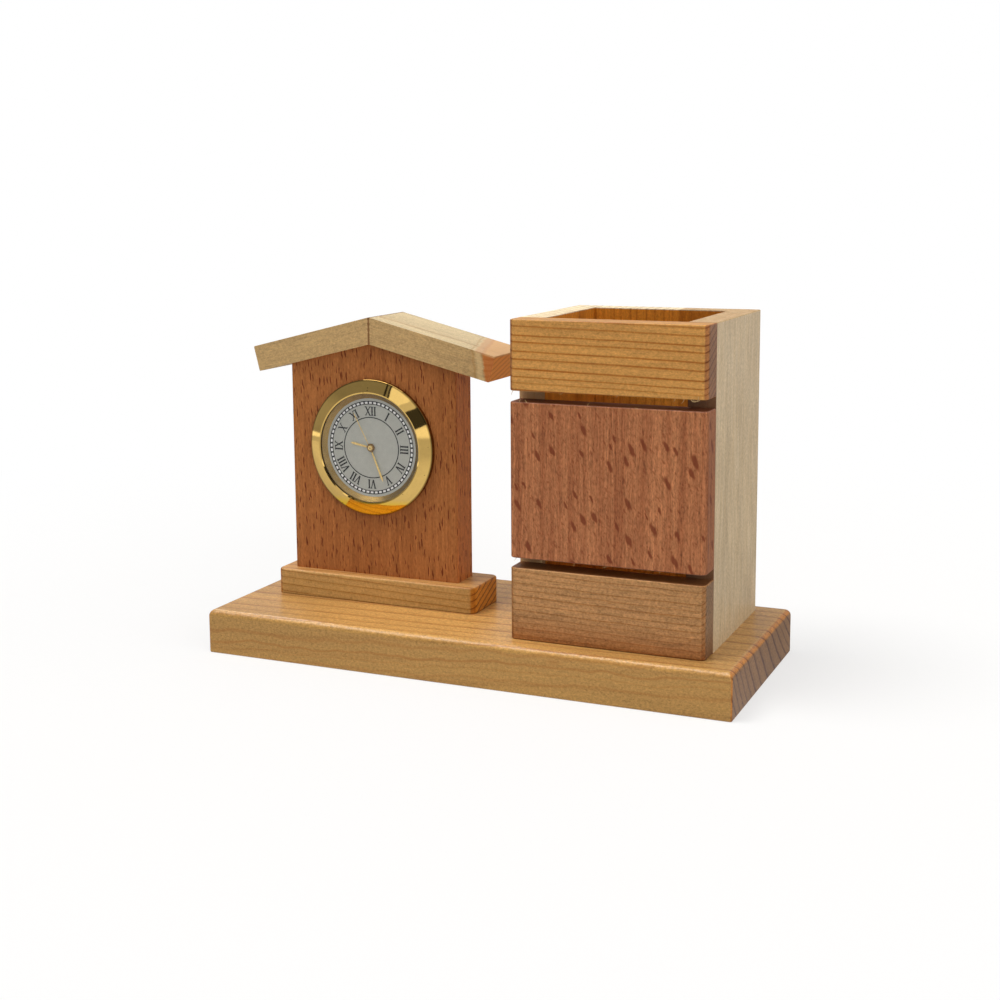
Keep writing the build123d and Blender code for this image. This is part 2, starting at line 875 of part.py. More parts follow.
rotor_height = rotor_place[1]
coil_screw_reach = stator_half - stator_arm / 2
coil_post_places = [(-core_offset, rotor_height + side * coil_screw_reach) for side in (-1, 1)]
board_middle = (board_edge_reach + board_width / 2, board_post_inset)
board_reach = board_height / 2 - board_post_inset
board_post_places = [(board_middle[0], board_middle[1] + side * board_reach) for side in (-1, 1)]


def stator():
    """C-shaped plate with the rotor's hole in its wide leg and the coil between its arms."""
    hole = rotor_magnet_radius + stator_rotor_gap
    right = rotor_place[0] + hole + stator_wall
    left = -core_offset - coil_post_radius - stator_end_margin
    low = (left, rotor_height - stator_half, stator_bottom)
    plate = block(low, (right, rotor_height + stator_half, stator_top))
    inner = rotor_place[0] - hole - stator_wall
    reach = coil_reach + stator_coil_gap
    window_low = (left - cut_overrun, rotor_height - reach, stator_bottom - cut_overrun)
    plate -= block(window_low, (inner, rotor_height + reach, stator_top + cut_overrun))
    plate -= drill(hole, stator_bottom, stator_top, rotor_place)
    plate -= drill(arbor_radius + face_gap, stator_bottom, stator_top, intermediate_place)
    plate -= drill(pillar_radius + face_gap, stator_bottom, stator_top, pillar_places[-1])
    for side in (-1, 1):
        notch = (rotor_place[0], rotor_place[1] + side * hole)
        plate -= drill(stator_notch, stator_bottom, stator_top, notch)
    for place in coil_post_places:
        plate -= drill(coil_screw_radius + hub_clearance, stator_bottom, stator_top, place)
    return plate


def coil_core():
    low = (-core_offset - core_width / 2, rotor_height - stator_half, core_bottom)
    high = (-core_offset + core_width / 2, rotor_height + stator_half, stator_bottom)
    core = block(low, high)
    for place in coil_post_places:
        core += disc(coil_post_radius, core_bottom, stator_bottom, place)
    for place in coil_post_places:
        core -= drill(coil_screw_radius + hub_clearance, core_bottom, stator_bottom, place)
    return core


def coil_winding():
    """Wound coil with its two bobbin flanges, round the core."""
    level = (core_bottom + stator_bottom) / 2
    along = Plane(origin=(-core_offset, rotor_height, level), x_dir=(1, 0, 0), z_dir=(0, 1, 0))
    half = coil_length / 2
    flange = coil_radius + bobbin_flange_rise
    coil = disc(coil_radius, -half, half)
    coil += disc(flange, -half - bobbin_flange, -half) + disc(flange, half, half + bobbin_flange)
    width = core_width / 2 + hub_clearance
    depth = stator_thickness / 2 + hub_clearance
    reach = coil_reach + cut_overrun
    return along.location * (coil - block((-width, -depth, -reach), (width, depth, reach)))


def circuit_board():
    low = (board_edge_reach, board_middle[1] - board_height / 2, board_bottom)
    high = (board_edge_reach + board_width, board_middle[1] + board_height / 2, board_top)
    return block(low, high)


def driver_chip():
    place = (board_middle[0], board_post_places[0][1])
    chip = disc(chip_radius, board_bottom - chip_height, board_bottom, place)
    return fillet(chip.faces().sort_by(Axis.Z)[0].edges(), chip_height / 2)


def quartz_crystal():
    """Small tuning-fork crystal in its can, lying on the board."""
    level = board_bottom - crystal_radius
    start = board_post_places[1][1] + board_post_inset / 2
    along = Plane(origin=(board_middle[0], start, level), x_dir=(1, 0, 0), z_dir=(0, -1, 0))
    return along.location * disc(crystal_radius, 0, crystal_length)


def button_cell():
    step = cell_front - cell_anode_step
    cell = disc(cell_radius, cell_back, step, cell_place)
    return cell + disc(cell_anode_radius, step, cell_front, cell_place)


def cell_contact_negative():
    """Spring strip between the boss of the main plate and the front of the cell."""
    reach = cell_anode_radius - contact_thickness
    strip = disc(contact_boss_radius, cell_front, contact_front, cell_place)
    low = (cell_place[0], cell_place[1] - contact_width / 2, cell_front)
    high = (cell_place[0] + reach, cell_place[1] + contact_width / 2, contact_front)
    return strip + block(low, high)


def cell_contact_positive():
    """Curved clip along the side of the cell, with a foot that stands on the main plate."""
    inside = cell_radius + hub_clearance
    outside = inside + contact_thickness
    top = cell_back + contact_height
    clip = disc(outside, cell_back, top, cell_place) - drill(inside, cell_back, top, cell_place)
    reach = outside + cut_overrun
    low = (cell_place[0] - reach, cell_place[1] - reach, cell_back - cut_overrun)
    high = (cell_place[0], cell_place[1] + reach, top + cut_overrun)
    clip -= block(low, high)
    foot_low = (cell_place[0] + inside, cell_place[1] - contact_width / 2, cell_back)
    foot_high = (cell_place[0] + outside, cell_place[1] + contact_width / 2, plate_bottom)
    return clip + block(foot_low, foot_high)


def setting_knob():
    """Fluted knob behind the case, its stem and the pinion that turns the minute wheel."""
    head_top = case_back - knob_gap
    head_low = head_top - knob_thickness
    head = disc(knob_radius, head_low, head_top)
    for number in range(knob_flute_count):
        place = polar(knob_radius, 360 / knob_flute_count * number)
        head -= drill(knob_flute_radius, head_low, head_top, place)
    knob = head + disc(knob_stem_radius, head_top, minute_wheel_top)
    pinion = gear(knob_teeth, cannon_module, knob_phase, minute_wheel_bottom, minute_wheel_top)
    return placed(knob + pinion, knob_place)


os.makedirs("parts", exist_ok=True)

top_board_low = box_top - (
    box_height - low_board_height - low_gap - middle_board_height - upper_gap
)
middle_board_low = base_thickness + low_board_height + low_gap

write("base_board", base_board())
write("clock_plinth", clock_plinth())
write("house_board", house_board())
write("roof_board_left", roof_board(-1, roof_left_run))
write("roof_board_right", roof_board(1, roof_right_run))
write("box_front_low", front_panel(base_thickness, base_thickness + low_board_height))
write("box_front_middle", front_panel(middle_board_low, middle_board_low + middle_board_height))
write("box_front_top", front_panel(top_board_low, box_top))
write("box_side_left", side_panel(box_left))
write("box_side_right", side_panel(box_right - box_board))
write("box_back", back_panel())
write("house_screws", *[house_screw(x) for x in screw_places])

write_clock("bezel", bezel())
write_clock("lens", lens())
write_clock("dial_ring", dial_ring())
write_clock("dial", dial())
write_clock("case_cup", case_cup())
write_clock("grip_band", grip_band())
write_clock("battery_hatch", battery_hatch())
write_clock("setting_knob", setting_knob())
write_clock("main_plate", main_plate())
write_clock("train_bridge", train_bridge())
screw_top = bridge_bottom + bridge_screw_depth
write_clock("bridge_screws", *[small_screw(p, bridge_bottom, screw_top) for p in pillar_places])
write_clock("stator", stator())
write_clock("coil_core", coil_core())
write_clock("coil_winding", coil_winding())
write_clock("coil_screws", *[small_screw(p, core_bottom, plate_bottom) for p in coil_post_places])
write_clock("circuit_board", circuit_board())
write_clock("driver_chip", driver_chip())
write_clock("quartz_crystal", quartz_crystal())
write_clock("button_cell", button_cell())
write_clock("cell_contact_negative", cell_contact_negative())
write_clock("cell_contact_positive", cell_contact_positive())
write_clock("rotor_magnet", rotor_magnet())
write_clock("rotor_pinion", rotor_pinion())
write_clock("intermediate_wheel", intermediate_wheel())
write_clock("second_wheel", second_wheel())
write_clock("third_wheel", third_wheel())
write_clock("centre_wheel", centre_wheel())
write_clock("minute_wheel", minute_wheel())
write_clock("hour_wheel", hour_wheel())
write_clock("hour_hand", hour_hand())
write_clock("minute_hand", minute_hand())
write_clock("second_hand", second_hand())
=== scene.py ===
import json
import random
from math import cos, pi, radians, sin

import bmesh
import bpy
from mathutils import Matrix, Vector


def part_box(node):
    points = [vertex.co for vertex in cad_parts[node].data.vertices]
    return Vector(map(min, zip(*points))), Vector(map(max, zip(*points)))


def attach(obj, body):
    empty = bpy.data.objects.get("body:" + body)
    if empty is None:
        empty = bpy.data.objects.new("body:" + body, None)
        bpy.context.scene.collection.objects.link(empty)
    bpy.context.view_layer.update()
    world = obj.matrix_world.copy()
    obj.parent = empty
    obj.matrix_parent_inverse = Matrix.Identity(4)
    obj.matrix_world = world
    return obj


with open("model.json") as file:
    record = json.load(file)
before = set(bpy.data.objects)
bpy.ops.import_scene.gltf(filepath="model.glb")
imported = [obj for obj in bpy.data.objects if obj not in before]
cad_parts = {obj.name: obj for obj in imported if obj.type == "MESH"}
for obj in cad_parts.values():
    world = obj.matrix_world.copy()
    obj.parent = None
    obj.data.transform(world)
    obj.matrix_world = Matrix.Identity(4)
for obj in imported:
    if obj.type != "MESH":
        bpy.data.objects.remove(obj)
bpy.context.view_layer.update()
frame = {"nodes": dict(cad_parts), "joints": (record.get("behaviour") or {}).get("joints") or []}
nodes = frame["nodes"]

# Sizes and places are in millimetres and angles in degrees, except where Blender takes them
MM = 0.001


def corners(name):
    """Low and high corner of a part at rest."""
    low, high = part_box(name)
    return Vector(low) / MM, Vector(high) / MM


# Axis of the clock at the back of its bezel, and how far the dial's face stands in front of that
joint_places = {joint["name"]: joint["pos_m"] for joint in frame["joints"] if "pos_m" in joint}
CLOCK = Vector(joint_places["second_hand_spin"]) / MM
DIAL_FRONT = CLOCK.y - corners("dial")[0].y

# Origin of the patterns in the wood and metal: the places below it are measured from there
PATTERN_ORIGIN = Vector((0.15, 0.0, 0.2))
BASE_TOP = corners("base_board")[1].z - PATTERN_ORIGIN.z
# Front end of the roof's ridge, and the roof's slope and thickness
roof_low, roof_high = corners("roof_board_left")
RIDGE = Vector((roof_high.x, roof_low.y, roof_high.z)) - PATTERN_ORIGIN
ROOF_PITCH = 14
ROOF_THICK = 7.0
# Inside of the pen box: a little into its walls, and up to a little below its rim
WALL_OVERLAP, RIM_DROP = 0.1, 0.2
left_wall, right_wall = corners("box_side_left"), corners("box_side_right")
front_wall, back_wall = corners("box_front_top"), corners("box_back")
WELL_LOW = Vector((left_wall[1].x - WALL_OVERLAP, front_wall[1].y - WALL_OVERLAP, 0)) - PATTERN_ORIGIN
WELL_HIGH = Vector((right_wall[0].x + WALL_OVERLAP, back_wall[0].y + WALL_OVERLAP,
                    back_wall[1].z - RIM_DROP)) - PATTERN_ORIGIN


def tone(*levels):
    """Linear colour from red, green and blue of 0 to 255 as a screen shows them."""
    out = []
    for level in levels:
        level /= 255
        out.append(level / 12.92 if level <= 0.04045 else ((level + 0.055) / 1.055) ** 2.4)
    return (*out, 1)


def grey(level):
    """Colour from one linear level."""
    return (level, level, level, 1)


WHITE = grey(1.0)
# Range that a noise mostly keeps to
NOISE_LOW, NOISE_HIGH = 0.3, 0.7


class Nodes:
    """Short ways to add nodes to a tree, joined to the ones before."""

    def __init__(self, tree, output):
        self.tree = tree
        self.tree.nodes.clear()
        self.output = self.node(output)

    def node(self, kind, inputs=(), **settings):
        """A new node, with its inputs by name or number."""
        made = self.tree.nodes.new("ShaderNode" + kind)
        for key, value in settings.items():
            setattr(made, key, value)
        for key, value in dict(inputs).items():
            self.put(made.inputs[key], value)
        return made

    def put(self, socket, value):
        if isinstance(value, bpy.types.NodeSocket):
            self.tree.links.new(value, socket)
        else:
            socket.default_value = value

    def show(self, surface):
        self.put(self.output.inputs["Surface"], surface)

    def math(self, operation, *values, clamp=False):
        return self.node("Math", enumerate(values), operation=operation, use_clamp=clamp).outputs[0]

    def total(self, first, *others):
        for other in others:
            first = self.math("ADD", first, other)
        return first

    def product(self, first, *others):
        for other in others:
            first = self.math("MULTIPLY", first, other)
        return first

    def vector(self, operation, *values):
        made = self.node("VectorMath", enumerate(values), operation=operation)
        return made.outputs["Value" if operation in ("LENGTH", "DOT_PRODUCT") else "Vector"]

    def rotated(self, source, turn):
        angles = [radians(angle) for angle in turn]
        return self.node("Mapping", {"Vector": source, "Rotation": angles}).outputs[0]

    def split(self, source):
        return self.node("SeparateXYZ", {0: source}).outputs

    def joined(self, *parts):
        return self.node("CombineXYZ", enumerate(parts)).outputs[0]

    def noise(self, source, scale, detail=2.0, roughness=0.5, output=0):
        """Noise with one scale, or with one for each axis."""
        if isinstance(scale, tuple):
            source, scale = self.vector("MULTIPLY", source, scale), 1.0
        inputs = {"Vector": source, "Scale": scale, "Detail": detail, "Roughness": roughness}
        return self.node("TexNoise", inputs).outputs[output]

    def cells(self, source, scales, dimensions="3D"):
        """Distance to the nearest cell's point, and three random numbers of that cell."""
        inputs = {"Vector": self.vector("MULTIPLY", source, scales), "Scale": 1.0}
        made = self.node("TexVoronoi", inputs, voronoi_dimensions=dimensions)
        return made.outputs["Distance"], self.split(made.outputs["Color"])

    def random(self, value):
        return self.node("TexWhiteNoise", {"W": value}, noise_dimensions="1D").outputs["Value"]

    def ramp(self, value, stops):
        made = self.node("ValToRGB", {0: value})
        elements = made.color_ramp.elements
        while len(elements) < len(stops):
            elements.new(1.0)
        for element, (position, colour) in zip(elements, stops):
            element.position = position
            element.color = colour if isinstance(colour, tuple) else grey(colour)
        return made.outputs[0]

    def mix(self, share, first, second, blend="MIX"):
        inputs = {0: share, 6: first, 7: second}
        return self.node("Mix", inputs, data_type="RGBA", blend_type=blend).outputs[2]

    def scaled(self, colour, level):
        return self.mix(1.0, colour, self.joined(level, level, level), "MULTIPLY")

    def spread(self, value, low, high, new_low=0.0, new_high=1.0):
        """Levels from low to high, spread from new_low to new_high and held there beyond them."""
        return self.node("MapRange", enumerate((value, low, high, new_low, new_high))).outputs[0]

    def swing(self, noise, low, high):
        """Levels from low to high as a noise changes."""
        return self.spread(noise, NOISE_LOW, NOISE_HIGH, low, high)

    def stripe(self, value, low, high, low_soft, high_soft):
        """1 from low to high, with an edge outside each that fades to 0."""
        rise = self.spread(value, low - low_soft, low)
        return self.math("MULTIPLY", rise, self.spread(value, high + high_soft, high))

    def steps(self, value, places):
        """Index of a ring from its place: whole at each listed place, straight between them."""
        low, high, count = places[0], places[-1], len(places) - 1
        made = self.node("FloatCurve", {"Value": self.spread(value, low, high)})
        points = made.mapping.curves[0].points
        for number, place in enumerate(places[1:-1], 1):
            points.new((place - low) / (high - low), number / count)
        for point in points:
            point.handle_type = "VECTOR"
        made.mapping.update()
        return self.math("MULTIPLY", made.outputs[0], float(count))

    def bump(self, height, rise, strength, normal=None):
        inputs = {"Strength": strength, "Distance": rise * MM, "Height": height}
        if normal is not None:
            inputs["Normal"] = normal
        return self.node("Bump", inputs).outputs[0]

    def blend(self, share, first, second):
        """One surface with a share of a second one."""
        return self.node("MixShader", enumerate((share, first, second))).outputs[0]

    def by_ray(self, light, shown, mirrored):
        """One surface for light, one for the camera and for clear glass, and one for gloss."""
        rays = self.node("LightPath").outputs
        seen = self.math("MAXIMUM", rays["Is Camera Ray"], rays["Is Transmission Ray"])
        return self.blend(rays["Is Glossy Ray"], self.blend(seen, light, shown), mirrored)


class Shader(Nodes):
    """A material, built from places and normals to its surface."""

    def __init__(self, name):
        self.material = bpy.data.materials.new(name)
        self.material.use_nodes = True
        super().__init__(self.material.node_tree, "OutputMaterial")
        coordinates = self.node("TexCoord").outputs
        self.normal = coordinates["Normal"]
        millimetres = self.vector("MULTIPLY", coordinates["Object"], (1 / MM, 1 / MM, 1 / MM))
        self.place = self.vector("SUBTRACT", millimetres, PATTERN_ORIGIN)

    def facing(self, axis):
        """How far the surface faces along an axis, from -1 to 1."""
        return self.split(self.normal)[axis]

    def either_way(self, axis):
        """How far the surface faces along an axis, forwards or backwards."""
        return self.math("ABSOLUTE", self.facing(axis))

    def surface(self, **sockets):
        inputs = {key.replace("_", " "): value for key, value in sockets.items()}
        self.show(self.node("BsdfPrincipled", inputs).outputs[0])
        return self.material


def put_on(material, *names):
    for name in names:
        for slot in nodes[name].material_slots:
            slot.material = material


def by_side(shader, facing, stops, colours):
    """Colour from how far the surface faces along the grain: the stops give the number of a colour."""
    return shader.ramp(facing, [(stop, tone(*colours[number])) for stop, number in stops])


def specked(shader, colour, place, scales, size, least, mark, strength):
    """Small dark specks, in the cells whose random number is over the least."""
    distance, chance = shader.cells(place, scales)
    spot = shader.math("MULTIPLY", shader.spread(distance, size, size * 0.5),
                       shader.math("GREATER_THAN", chance["X"], least))
    return shader.mix(shader.math("MULTIPLY", spot, strength), colour, tone(*mark))


# Darkness across one growth ring, from one dark line of latewood to the next
LATEWOOD = [(0, 1.0), (0.04, 0.4), (0.1, 0.03), (0.55, 0.0), (0.82, 0.22), (0.94, 0.75), (1.0, 1.0)]
SHARP_LATEWOOD = [(0, 1.0), (0.05, 0.6), (0.1, 0.12), (0.2, 0.03), (0.6, 0.0), (0.82, 0.15), (0.9, 0.75),
                  (0.95, 1.0), (1.0, 1.0)]
# Turn of a board's grain about Y, away from X
ALONG_X, UPRIGHT = 0, 90
# Softwood's noises with the grain along the first axis: scales, detail and roughness
HAIR = ((0.12, 4.5, 4.5), 3.0, 0.6)
STRAND = ((0.09, 1.5, 1.5), 3.0, 0.65)
CLOUD = ((0.02, 0.12, 0.12), 1.0)
FLECK = ((1.6, 2.6, 2.6), 3.0, 0.65)
SAND = ((1.1, 1.5, 1.5), 2.0, 0.8)
PEBBLE = ((0.8, 1.4, 1.4), 3.0, 0.6)
SWELL = ((0.06, 0.2, 0.2), 1.0)


def ring_index(shader, place, pith, rings, drift, wave):
    """Number of the growth ring at a place, whole at each ring's dark line.

    The drift is how much the rings' reach grows along the board, where it is none, and its change
    with the depth. The wave is how far the rings waver.
    """
    parts = shader.split(place)
    offset = shader.vector("SUBTRACT", place, (0, *pith))
    reach = shader.vector("LENGTH", shader.vector("MULTIPLY", offset, (0, 1, 1)))
    growth, start, taper = drift
    slant = shader.math("MULTIPLY", shader.math("SUBTRACT", parts["X"], start), growth)
    if taper:
        share = shader.math("SUBTRACT", 0.5, shader.math("MULTIPLY", parts["Y"], taper))
        slant = shader.math("MULTIPLY", slant, share)
    broad = shader.spread(shader.noise(place, (0.035, 0.09, 0.09)), 0.25, 0.75, -wave, wave)
    fine = shader.spread(shader.noise(place, (0.15, 0.5, 0.5)), 0.25, 0.75, -wave * 0.25, wave * 0.25)
    return shader.steps(shader.total(reach, slant, broad, fine), rings)


def softwood(name, turn, pith, rings, early, late, drift=(0, 0, 0), wave=0.3, strength=1.0, ring=LATEWOOD,
             front=1.0, fibre=0.12, grit=0.1, coat=0.2, coat_rough=0.22, speck=None, front_rear_shade=None, changes=()):
    """Lacquered softwood: growth rings round a pith line, fine fibres, and darker end grain.

    The early and late wood's colours are given for the face, for a rounded arris and for the end
    grain. On the front and rear faces the rings keep a share of front, and the colour is
    multiplied by the tint, a painted shade of those faces. The changes are functions that take
    the shader and its colour and give a new colour.
    """
    shader = Shader(name)
    place = shader.rotated(shader.place, (0, turn, 0))
    endward = shader.math("ABSOLUTE", shader.split(shader.rotated(shader.normal, (0, turn, 0)))["X"])
    outward = shader.either_way("Y")
    hair = shader.noise(place, *HAIR)
    fleck = shader.noise(place, *FLECK)

    index = ring_index(shader, place, pith, rings, drift, wave)
    chance = shader.random(shader.math("ROUND", index))
    line = shader.product(shader.ramp(shader.math("FRACT", index), ring),
                          shader.spread(chance, 0, 1, 0.6 * strength, strength),
                          shader.swing(shader.noise(place, (0.08, 0.6, 0.6)), 0.7, 1.0))
    line = shader.math("MULTIPLY", line, shader.spread(endward, 0.3, 0.6, 1.0, 1.3), clamp=True)
    line = shader.math("MULTIPLY", line, shader.spread(outward, 0.6, 1.0, 1.0, front))

    stops = [(0, 0), (0.28, 0), (0.5, 1), (0.86, 1), (0.97, 2), (1.0, 2)]
    light, dark = (by_side(shader, endward, stops, colours) for colours in (early, late))
    colour = shader.mix(line, light, dark)
    level = shader.total(1.0, shader.swing(hair, -fibre, fibre),
                         shader.swing(shader.noise(place, *CLOUD), -0.06, 0.06),
                         shader.swing(fleck, -grit, grit),
                         shader.swing(shader.noise(place, *SAND), -grit, grit),
                         shader.swing(shader.noise(place, *STRAND), -fibre, fibre))
    colour = shader.scaled(colour, level)
    if speck:
        colour = specked(shader, colour, place, *speck, strength=0.7)
    if front_rear_shade:
        # Painted shade: the front and rear faces take a darker colour than the top
        colour = shader.mix(shader.spread(outward, 0.75, 0.97), colour, tone(*front_rear_shade), "MULTIPLY")
    for change in changes:
        colour = change(shader, colour)

    height = shader.total(shader.math("MULTIPLY", hair, 0.5), shader.math("MULTIPLY", fleck, 0.9),
                          shader.math("MULTIPLY", line, -0.25))
    waved = shader.bump(shader.noise(place, *SWELL), 0.7, 0.6)
    return shader.surface(
        Base_Color=colour, Normal=shader.bump(height, 0.06, 0.7), Specular_IOR_Level=0.18,
        Roughness=shader.total(shader.swing(hair, 0.42, 0.56), shader.math("MULTIPLY", line, -0.05)),
        Coat_Weight=shader.spread(endward, 0.5, 0.9, coat, coat * 0.15), Coat_Roughness=coat_rough,
        Coat_Normal=shader.bump(shader.noise(place, *PEBBLE), 0.16, 0.8, waved))


def flecks(shader, place, sizes, half, tilt, share, seed, soft):
    """Short strokes along the grain: one in a share of the cells, of many lengths.

    The sizes of a cell and the stroke's half width are in millimetres; the tilt leans the strokes
    clockwise, and soft is where across a stroke its edge begins to fade.
    """
    x, y, z = shader.split(place)
    across = shader.math("ADD", x, shader.math("MULTIPLY", y, 0.97))
    flat = shader.rotated(shader.joined(across, z, 0), (0, 0, tilt))
    flat = shader.vector("ADD", flat, (seed, seed * 1.7, 0))
    distance, chance = shader.cells(flat, (1 / sizes[0], 1 / sizes[1], 1), "2D")
    edge = shader.math("MULTIPLY", shader.spread(chance["Y"], 0, 1, 0.55, 1.25), half / sizes[0])
    mark = shader.spread(shader.math("DIVIDE", distance, edge), 1.0, soft)
    return shader.math("MULTIPLY", mark, shader.math("LESS_THAN", chance["X"], share))


def beech(name, early, late, fleck, layers, streak, bands, soft=0.7, side=1.0, changes=()):
    """Lacquered beech with its grain upright: fine streaks, and layers of dark ray flecks.

    The colours are given for the face and for the end grain, and side sets the level of the faces to
    the left and right: painted light above 1 and painted shade below it. A layer gives its flecks' cell
    sizes, half width, tilt, share and strength.
    """
    shader = Shader(name)
    place = shader.place
    endward = shader.either_way("Z")
    waver = shader.vector("SUBTRACT", shader.noise(place, (0.9, 0.9, 0.4), output="Color"), (0.5, 0.5, 0.5))
    bent = shader.vector("ADD", place, shader.vector("MULTIPLY", waver, (0.6, 0.6, 1.6)))
    streaks = shader.noise(place, (0.75, 0.75, 0.012), 4.0, 0.62)
    hair = shader.noise(place, (2.6, 2.6, 0.2), 3.0, 0.65)
    pores = shader.noise(place, (2.6, 2.6, 0.9), 2.0, 0.7)
    cloud = shader.noise(place, (0.07, 0.07, 0.02), 1.0)

    stops = [(0, 0), (0.35, 0), (0.6, 1), (1.0, 1)]
    dark_share = shader.math("ADD", shader.spread(streaks, 0.5 - 0.22 * bands, 0.5 + 0.22 * bands),
                             shader.swing(cloud, -0.2, 0.2), clamp=True)
    light, dark = (by_side(shader, endward, stops, colours) for colours in (early, late))
    colour = shader.mix(dark_share, light, dark)
    level = shader.math("ADD", shader.swing(hair, 1 - streak * 0.4, 1 + streak * 0.35),
                        shader.swing(pores, -streak * 0.35, streak * 0.35))
    colour = shader.scaled(colour, level)
    mark = 0.0
    for number, (sizes, half, tilt, share, strength) in enumerate(layers):
        layer = flecks(shader, bent, sizes, half, tilt, share, 13.7 * number, soft)
        mark = shader.math("MAXIMUM", mark, shader.math("MULTIPLY", layer, strength))
    mark = shader.math("MULTIPLY", mark, shader.spread(endward, 0.3, 0.6, 1.0, 0.2))
    colour = shader.mix(mark, colour, tone(*fleck))
    # Painted light and shade: the faces to the left and right are scaled by side
    colour = shader.mix(shader.spread(shader.either_way("X"), 0.6, 0.95), colour, grey(side), "MULTIPLY")
    for change in changes:
        colour = change(shader, colour)

    height = shader.math("SUBTRACT", shader.math("MULTIPLY", hair, 0.7), shader.math("MULTIPLY", mark, 0.5))
    return shader.surface(
        Base_Color=colour, Normal=shader.bump(height, 0.06, 0.8), Specular_IOR_Level=0.12,
        Roughness=shader.swing(hair, 0.42, 0.56), Coat_Weight=0.05, Coat_Roughness=0.25)


def plain(name, colour, rough, metal, grain, change=0.08, rise=0.02, stretch=(1, 1, 1), changes=()):
    """Moulded, painted or metal finish: a fine mottle in its colour, roughness and surface.

    The grain is the mottle's scale, change how much darker it gets, and rise its depth.
    """
    shader = Shader(name)
    place = shader.vector("MULTIPLY", shader.place, stretch)
    mottle = shader.noise(place, grain, 3.0, 0.6)
    broad = shader.noise(place, grain * 0.12, 1.0)
    darker = [level * (1 - change * 2.2) for level in colour]
    share = shader.math("MULTIPLY", shader.math("ADD", mottle, broad), 0.5)
    base = shader.mix(shader.spread(share, 0.35, 0.65), tone(*colour), tone(*darker))
    for alter in changes:
        base = alter(shader, base)
    return shader.surface(
        Base_Color=base, Normal=shader.bump(mottle, rise, 0.6), Metallic=metal,
        Roughness=shader.swing(mottle, max(0.02, rough - 0.06), rough * 1.5))


# Tints of the wood inside the pen box, near its rim and deep in it, where the lighter tint is painted light
# against the shade, and the heights they lie at
RIM_TINT, DEEP_PAINTED_LIGHT_TINT = (232, 158, 60), (255, 192, 92)
RIM_HEIGHT, DEEP_HEIGHT = 84.0, 72.0


def warm_well_with_painted_light(shader, colour):
    """Warmer wood on the inside of the pen box, with painted light that makes it lighter further down,
    where shade falls.
    """
    inside = 1.0
    for part, low, high in zip(shader.split(shader.place), WELL_LOW, WELL_HIGH):
        inside = shader.product(inside, shader.math("GREATER_THAN", part, low),
                                shader.math("LESS_THAN", part, high))
    # Painted light: the tint grows lighter from the rim down into the box
    depth = shader.spread(shader.split(shader.place)["Z"], RIM_HEIGHT, DEEP_HEIGHT)
    return shader.mix(inside, colour, shader.mix(depth, tone(*RIM_TINT), tone(*DEEP_PAINTED_LIGHT_TINT)), "MULTIPLY")


def painted_foot_shadow(shader, colour):
    """Narrow painted shadow along the foot, where a part meets the base."""
    height = shader.split(shader.place)["Z"]
    share = shader.spread(height, BASE_TOP + 0.42, BASE_TOP + 0.12, 0, 0.6)
    return shader.mix(share, colour, tone(84, 48, 22))


# Height over which an upper edge in the box's front is its rim, which gets no painted shade
RIM_FROM = 85.0


def shaded_board_tops(shader, colour):
    """Painted shade on the upper edges of the boards in the box's front, which lie in its gaps, and the
    painted shadow along their foot at the base.
    """
    colour = painted_foot_shadow(shader, colour)
    upward = shader.spread(shader.facing("Z"), 0.9, 0.99)
    lower = shader.math("LESS_THAN", shader.split(shader.place)["Z"], RIM_FROM)
    # Painted shade: dark brown on the upward faces below the rim
    return shader.mix(shader.product(upward, lower, 0.75), colour, tone(100, 52, 22))


# Depths behind, at and before the front ends of the box's side boards, and the box's middle
PANEL_BEHIND, PANEL_END, PANEL_BEFORE = -16.4, -16.8, -17.4
BOX_MIDDLE = 40.0


def panel_ends_with_shade(shader, colour):
    """Front ends of the box's side boards, which show in its gaps: the right one darker with painted shade.
    """
    parts = shader.split(shader.place)
    end = shader.product(shader.spread(parts["Y"], PANEL_BEHIND, PANEL_END),
                         shader.math("GREATER_THAN", parts["Y"], PANEL_BEFORE))
    shaded_right = shader.math("GREATER_THAN", parts["X"], BOX_MIDDLE)
    # Painted shade: the right board's end is dark brown, the left one keeps a lit end-grain colour
    brown = shader.mix(shaded_right, tone(206, 158, 104), tone(112, 66, 34))
    return shader.mix(shader.math("MULTIPLY", end, 0.85), colour, brown)


# Heights where the box's lowest front board starts to darken, and where it is darkest
SHADE_TOP, SHADE_FOOT = 19.0, 12.0


def low_shade(shader, colour):
    """Lowest board of the box's front, a little darker towards the base."""
    share = shader.spread(shader.split(shader.place)["Z"], SHADE_TOP, SHADE_FOOT)
    return shader.mix(share, colour, tone(222, 200, 180), "MULTIPLY")


# Lines on the base's front: the height, half width and strength of each, and their rise to the right
FRONT_LINES = ((6.3, 0.5, 0.5), (9.0, 0.7, 0.36), (4.4, 0.3, 0.3), (2.0, 0.5, 0.3))
FRONT_RISE = 0.041
# Middle of the orange mark on the base's front
FRONT_MARK = (27.5, 9.0)
# Painted sheen in the middle of the base's top, with painted shade towards its ends: the middle, and its
# levels near to that and far from it
BASE_SHEEN_MIDDLE = -9.0
BASE_SHEEN_REACHES, BASE_SHEEN_LEVELS = (22.0, 44.0), (1.08, 0.86)


